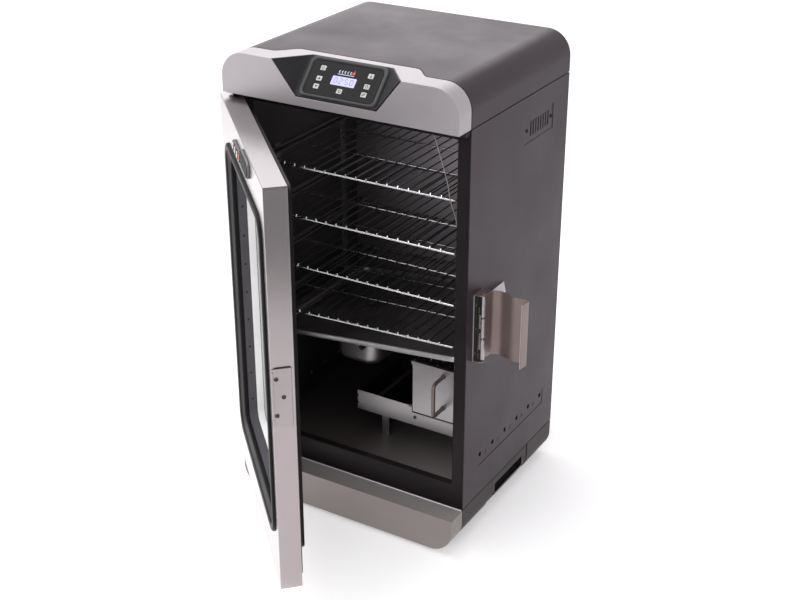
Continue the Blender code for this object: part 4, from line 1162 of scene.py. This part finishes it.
def latch_bracket():
    z0, z1 = LATCH_LOW, LATCH_HIGH
    plate = box(HALF + 0.3, HALF + 1.8, -156, -127, z0 - 2, z1 + 2)
    for z in (z0 - 2, z1 + 0.4):
        ear = prism([(HALF + 1, -155.5), (HALF + 12, -155.5), (HALF + 17.5, -152),
                     (HALF + 17.5, -141), (HALF + 12, -136), (HALF + 1, -128)], "z", z, z + 1.6)
        plate = carve(plate, ear, "UNION")
    piece("latch_bracket", plate, lever_steel, stands_for="latch_base", bevel=0.4, sharp=30)
    piece("latch_bracket_hem", box(HALF + 0.3, HALF + 2.2, -156.9, -155.7, z0 - 1, z1 + 1),
          gusset_steel, bevel=0.3)
    pin = cylinder((PIVOT_X, PIVOT_Y, (z0 + z1) / 2), 1.8, z1 - z0 + 5, "z", 20)
    for z in (z0 - 2.6, z1 + 2.4):
        cylinder((PIVOT_X, PIVOT_Y, z), 3.0, 1.0, "z", 24, pin)
    piece("latch_pin", pin, screw_steel, sharp=40)
    # Painted shade inside the bracket
    piece("latch_recess", box(HALF + 1.9, HALF + 6.2, -155.2, -132, z0 + 1.5, z1 - 1.5),
          dark_hole, bevel=0.4)
    screws("latch_screws", [(HALF + 4, -155.2, z) for z in (371, 416, 459)], (0, -1, 0), 2.6,
           dark_screw)


def latch_works():
    """The over-centre links and their springs, inside the bracket, and the lever's stop."""
    links = bmesh.new()
    for z in (366, 449):
        box(HALF + 6.4, HALF + 9.8, -153, -149.8, z - 6, z + 6, links)
    box(HALF + 6.6, HALF + 8.2, -152, -150.4, 372, 443, links)
    piece("latch_links", links, dark_screw, bevel=0.8, steps=3)
    for word, low, high in (("low", 378, 408), ("high", 416, 441)):
        steps = int((high - low) * 0.45) * 12
        turn = circle(HALF + 10.4, -151.6, 1.7, 12)
        spring = [(*turn[k % 12], low + (high - low) * k / steps) for k in range(steps + 1)]
        piece("latch_spring_" + word, rod(bmesh.new(), spring, 0.45, 6), screw_steel)
    gusset = prism([(HALF + 0.4, -104), (HALF + 0.4, -48.5), (HALF + 20, -81), (HALF + 20, -104)],
                   "z", 456, 457.5)
    # Painted highlight: the gusset is a pale sheet, not metal
    piece("latch_gusset", gusset, pale_sheet_painted_highlight, bevel=0.35)


def latch_lever():
    z0, z1 = LATCH_LOW, LATCH_HIGH
    path = [(231.0, -141.9), (234.5, -120), (250.5, -116.5), (274.5, -126), (303.5, -125),
            (300.5, -146)]
    piece("latch_lever_sheet", prism(folded(path, 1.6, 6.0), "z", z0 + 1, z1 - 1),
          lever_steel, "latch", "latch_lever", 0.35, 2, 40)
    lip = prism(folded([(303.9, -127), (301.3, -145.8)], 1.0), "z", z0 + 1.4, z1 - 1.4)
    bmesh.ops.translate(lip, verts=lip.verts, vec=(-1.5, -0.4, 0))
    piece("latch_lever_lip", lip, gusset_steel, "latch", bevel=0.3)
    knuckle = bmesh.new()
    for low, high in ((z0 + 1.5, z0 + 38), (z0 + 42, z1 - 42), (z1 - 38, z1 - 1.5)):
        ring(circle(PIVOT_X, PIVOT_Y, 4.0, 24), circle(PIVOT_X, PIVOT_Y, 2.3, 24), "z", low, high,
             knuckle)
    piece("latch_knuckles", knuckle, sheet_steel, "latch", sharp=40)


# ---------------------------------------------------------------- door


def window_outline(inset, radius, steps=10):
    x0, x1, z0, z1 = WINDOW
    return rounded(x0 + inset, x1 - inset, z0 + inset, z1 - inset, radius, steps)


def door_skin():
    x0, x1, z0, z1 = DOOR
    skin = box(x0, x1, FACE, DOOR_BACK, z0, z1)
    skin = carve(skin, box(x0 + 1.2, x1 - 1.2, FACE + 1.2, DOOR_BACK + 5, z0 + 1.2, z1 - 1.2))
    skin = carve(skin, prism(window_outline(16, 22), "y", FACE - 5, FACE + 5))
    pins = bmesh.new()
    for z in (z0 + 3, z1 - 3):
        cylinder((HINGE.x, HINGE.y, z), 4.0, 20, "z", 20, pins)
    # The skin's top edge carries painted shade in its colour
    piece("door_sheet", carve(skin, pins), door_steel, "door", "door_skin", 1.0, 3, 30)


def door_liner():
    x0, x1, z0, z1 = DOOR
    liner_rim = rounded(x0 + 1.5, x1 - 1.5, z0 + 1.5, z1 - 1.5, 2, 10)
    liner = ring(liner_rim, window_outline(24, 18), "y", DOOR_BACK - 1.6, DOOR_BACK)
    plug = prism(rounded(-190, 193, 122, 738, 16), "y", DOOR_BACK - 1.0, DOOR_BACK + 10.5)
    tunnel = prism(window_outline(21, 19), "y", SLEEVE_END + 0.3, DOOR_BACK - 1.0)
    for solid in (plug, tunnel):
        solid = carve(solid, prism(window_outline(24, 18), "y", FACE, DOOR_BACK + 30))
        liner = carve(liner, solid, "UNION")
    piece("door_liner_sheet", liner, black_enamel, "door", "door_liner", 1.0, 3, 30)


def window_flange():
    """Folded flange inside the window's tunnel, with its row of spot welds."""
    flange = ring(window_outline(22.6, 18.4), window_outline(25.2, 17.0), "y", SLEEVE_END + 0.6,
                  FACE + 24.0)
    piece("pane_flange", flange, flange_grey, "door", bevel=0.3, sharp=60)
    # The rim is a painted reflection of the bright floor
    rim = ring(window_outline(22.6, 18.4), window_outline(25.4, 17.0), "y", FACE + 24.3,
               DOOR_BACK + 1.4)
    piece("pane_rim_painted_reflection", rim, white_sheet_painted_reflection, "door", bevel=0.3, sharp=60)
    dots = bmesh.new()
    wx0, wx1, wz0, wz1 = WINDOW
    for i in range(9):
        z = wz0 + 62 + i * (wz1 - wz0 - 124) / 8
        for x in (wx0 + 25.3, wx1 - 25.3):
            cylinder((x, FACE + 16.5, z), 1.7, 1.0, "x", 14, dots)
    piece("flange_welds", dots, dark_hole, "door", sharp=50)


def door_gasket():
    gasket = bmesh.new()
    outer, inner = (-207, 210, 84, 748), (-191, 194, 99, 739)
    rings = []
    for k in range(12):
        t = 2 * math.pi * k / 12
        share = 0.5 - 0.5 * math.cos(t)
        depth = DOOR_BACK + 0.3 + (0.5 + 0.5 * math.sin(t)) * (FRONT - DOOR_BACK - 0.6)
        box_at = [a + (b - a) * share for a, b in zip(outer, inner)]
        rings.append((rounded(*box_at, 12 - 4 * share, 6), depth))
    lofted(rings, "y", gasket, capped=False)
    piece("gasket_bulb", gasket, rubber, "door", "door_gasket", sharp=80)


def window():
    bezel = bmesh.new()
    section = [(0.0, -0.3), (0.0, -2.2), (1.2, -4.2), (3.4, -5.0), (8.0, -5.0), (10.5, -4.2),
               (12.5, -2.0), (24.5, 1.4), (26.0, 3.0), (26.0, 9.0), (24.4, 9.0), (16.4, 6.0),
               (16.4, -0.3)]
    loops = [loop_of(bezel, window_outline(inset, max(12.0, 36 - 0.77 * inset)), "y", FACE + depth)
             for inset, depth in section]
    join_loops(bezel, loops + loops[:1])
    piece("window_surround", bezel, bezel_plastic, "door", "window_bezel", 0.5, 3, 25)
    for word, depth in (("outer", 1.7), ("inner", 7.0)):
        pane = prism(window_outline(24.6, 17.4), "y", DOOR_BACK + depth, DOOR_BACK + depth + 3.0)
        piece("pane_" + word, pane, glass, "door", "window_glass_" + word, 0.4, 2)


def badge():
    """Plain black badge of two lobes, on a bright edge."""
    lobes = ((-50.0, 30.0, 716.0, 732.0, 8.0), (28.0, 104.0, 717.0, 745.0, 14.0))
    edge = bmesh.new()
    top = bmesh.new()
    for a, b, low, high, radius in lobes:
        prism(rounded(a, b, low, high, radius, 8), "y", FACE - 4.0, FACE - 0.3, edge)
        prism(rounded(a + 1.6, b - 1.6, low + 1.6, high - 1.6, radius - 1.6, 8), "y", FACE - 4.9,
              FACE - 3.8, top)
    piece("badge_edge", edge, badge_rim, "door", "badge", 0.5, 2, 30)
    piece("badge_lobes", top, dark_hole, "door", bevel=0.4, steps=3, sharp=30)
    strokes = bmesh.new()
    for k in range(3):
        rod(strokes, [(-42 + 21 * k, FACE - 4.9, 718.5), (-36 + 21 * k, FACE - 4.9, 729.5)], 1.1, 8)
    rod(strokes, [(16, FACE - 4.9, 719), (24, FACE - 4.9, 722)], 1.2)
    piece("badge_strokes", strokes, gusset_steel, "door")
    piece("badge_dot", cylinder((22, FACE - 4.8, 726), 5.0, 1.2, "y", 28),
          red_print, "door", bevel=0.4)


def strike():
    """The strike plate, with a painted shadow line all round it and a darker one along its top."""
    x1 = DOOR[1]
    piece("strike_shadow", box(x1 + 0.05, x1 + 0.35, FACE + 1.6, FACE + 30.6, 372.4, 471.6),
          dark_hole, "door")
    plate = box(x1 + 0.4, x1 + 1.8, FACE + 1, FACE + 30, 373, 471)
    catch = prism([(x1 + 1.0, FACE + 1), (x1 + 4.0, FACE + 1), (x1 + 4.0, FACE + 2.2),
                   (x1 + 1.0, FACE + 3.2)], "z", 378, 466)
    piece("strike_sheet", carve(plate, catch, "UNION"),
          steel_z, "door", "strike_plate", 0.35, 2, 30)
    # Painted shadow along the plate's top edge
    piece("strike_top_shadow", box(x1 + 0.1, x1 + 0.9, FACE + 5, FACE + 29, 471.2, 473.2),
          dark_hole, "door", bevel=0.2)
    screws("strike_screws", [(x1 + 1.8, y, z) for y, z in ((-208.7, 454.3), (-198.4, 423.4),
                                                            (-209.3, 393.0))],
           (1, 0, 0), 3.4, dark_screw, "door")


def hinges():
    for word, z_low, z_high, low, high in (("top", 755.0, 757.4, 742.5, 756.0),
                                           ("bottom", 72.3, 74.3, 73.0, 87.0)):
        arm = prism(rounded(-217.5, -200, -204, FRONT - 0.3, 4, 5), "z", z_low, z_high)
        arm = carve(arm, cylinder((HINGE.x, HINGE.y, (low + high) / 2), 3.0, high - low, "z", 20),
                    "UNION")
        piece("hinge_arm_" + word, arm, black_enamel, stands_for="hinge_" + word, bevel=0.4)


# ---------------------------------------------------------------- CAD pieces that stay

KEPT = {"liner_left": chamber_enamel, "liner_right": chamber_enamel, "liner_back": chamber_back_painted_light,
        "liner_top": chamber_enamel, "floor_plate": floor_enamel, "bottom_cover": black_enamel,
        "circuit_board": board, "insulation_back": wool, "insulation_top": wool,
        "door_insulation": wool}


def dress_kept_nodes():
    for name, material in KEPT.items():
        mesh = nodes[name].data
        mesh.materials.clear()
        mesh.materials.append(material)


def flag(name, middle, size, shade, height):
    """A low card that only reflections see, as a studio sets one beside a bright floor."""
    mesh = bpy.data.meshes.new(name)
    x, y = size[0] / 2, size[1] / 2
    mesh.from_pydata([(-x, -y, height), (x, -y, height), (x, y, height), (-x, y, height)], [],
                     [(0, 1, 2, 3)])
    card = Paint(name, (shade, shade * 0.94, shade * 0.96), 0.9)
    card.bump(card.noise(40.0), 0.02)
    mesh.materials.append(card.material)
    made = bpy.data.objects.new(name, mesh)
    scene.collection.objects.link(made)
    made.location = (*middle, 0.0)
    made.rotation_euler = (0, 0, math.radians(-30.8))
    made.visible_camera = made.visible_diffuse = made.visible_shadow = False
    made.visible_transmission = False


def studio_floor():
    """A pale floor with a soft sweep up behind, far outside the picture."""
    bm = bmesh.new()
    reach = 6.0
    profile = [(-reach, 0.0), (reach * 0.6, 0.0)]            # y and z along the sweep
    for k in range(1, 13):
        a = math.radians(90 * k / 12)
        profile.append((reach * 0.6 + 1.2 * math.sin(a), 1.2 - 1.2 * math.cos(a)))
    profile.append((reach * 0.6 + 1.2, 4.0))
    rows = [[bm.verts.new((x, y, z - 0.0005)) for y, z in profile] for x in (-reach, reach)]
    for i in range(len(profile) - 1):
        bm.faces.new((rows[0][i], rows[1][i], rows[1][i + 1], rows[0][i + 1]))
    mesh = bpy.data.meshes.new("studio_floor")
    bm.to_mesh(mesh)
    bm.free()
    mesh.shade_smooth()
    paper = Paint("studio_paper", (0.93, 0.925, 0.93), 0.7)
    paper.bump(paper.noise(200.0), 0.02)
    paper.shader.inputs["Emission Color"].default_value = (1.0, 0.99, 1.0, 1.0)
    paper.shader.inputs["Emission Strength"].default_value = 0.30
    mesh.materials.append(paper.material)
    made = bpy.data.objects.new("studio_floor", mesh)
    scene.collection.objects.link(made)


for build in (bezel_and_lid, seams, side_panels, side_wool, side_vent, cabinet_back, front_jamb,
              base_front, base_sides, base_rear, grease_tray, racks, rack_guides, drip_tray,
              water_pan, heater, smoker_drawer, probe, probe_lead, control_housing, control_face,
              display, heat_symbol, buttons, latch_bracket, latch_works, latch_lever, door_skin,
              door_liner, window_flange, door_gasket, window, badge, strike, hinges,
              dress_kept_nodes, studio_floor):
    build()
flag("near_flag", (0.53, -0.63), (0.94, 1.3), 0.74, 0.003)
flag("far_flag", (1.69, -1.32), (1.5, 2.4), 0.03, 0.004)
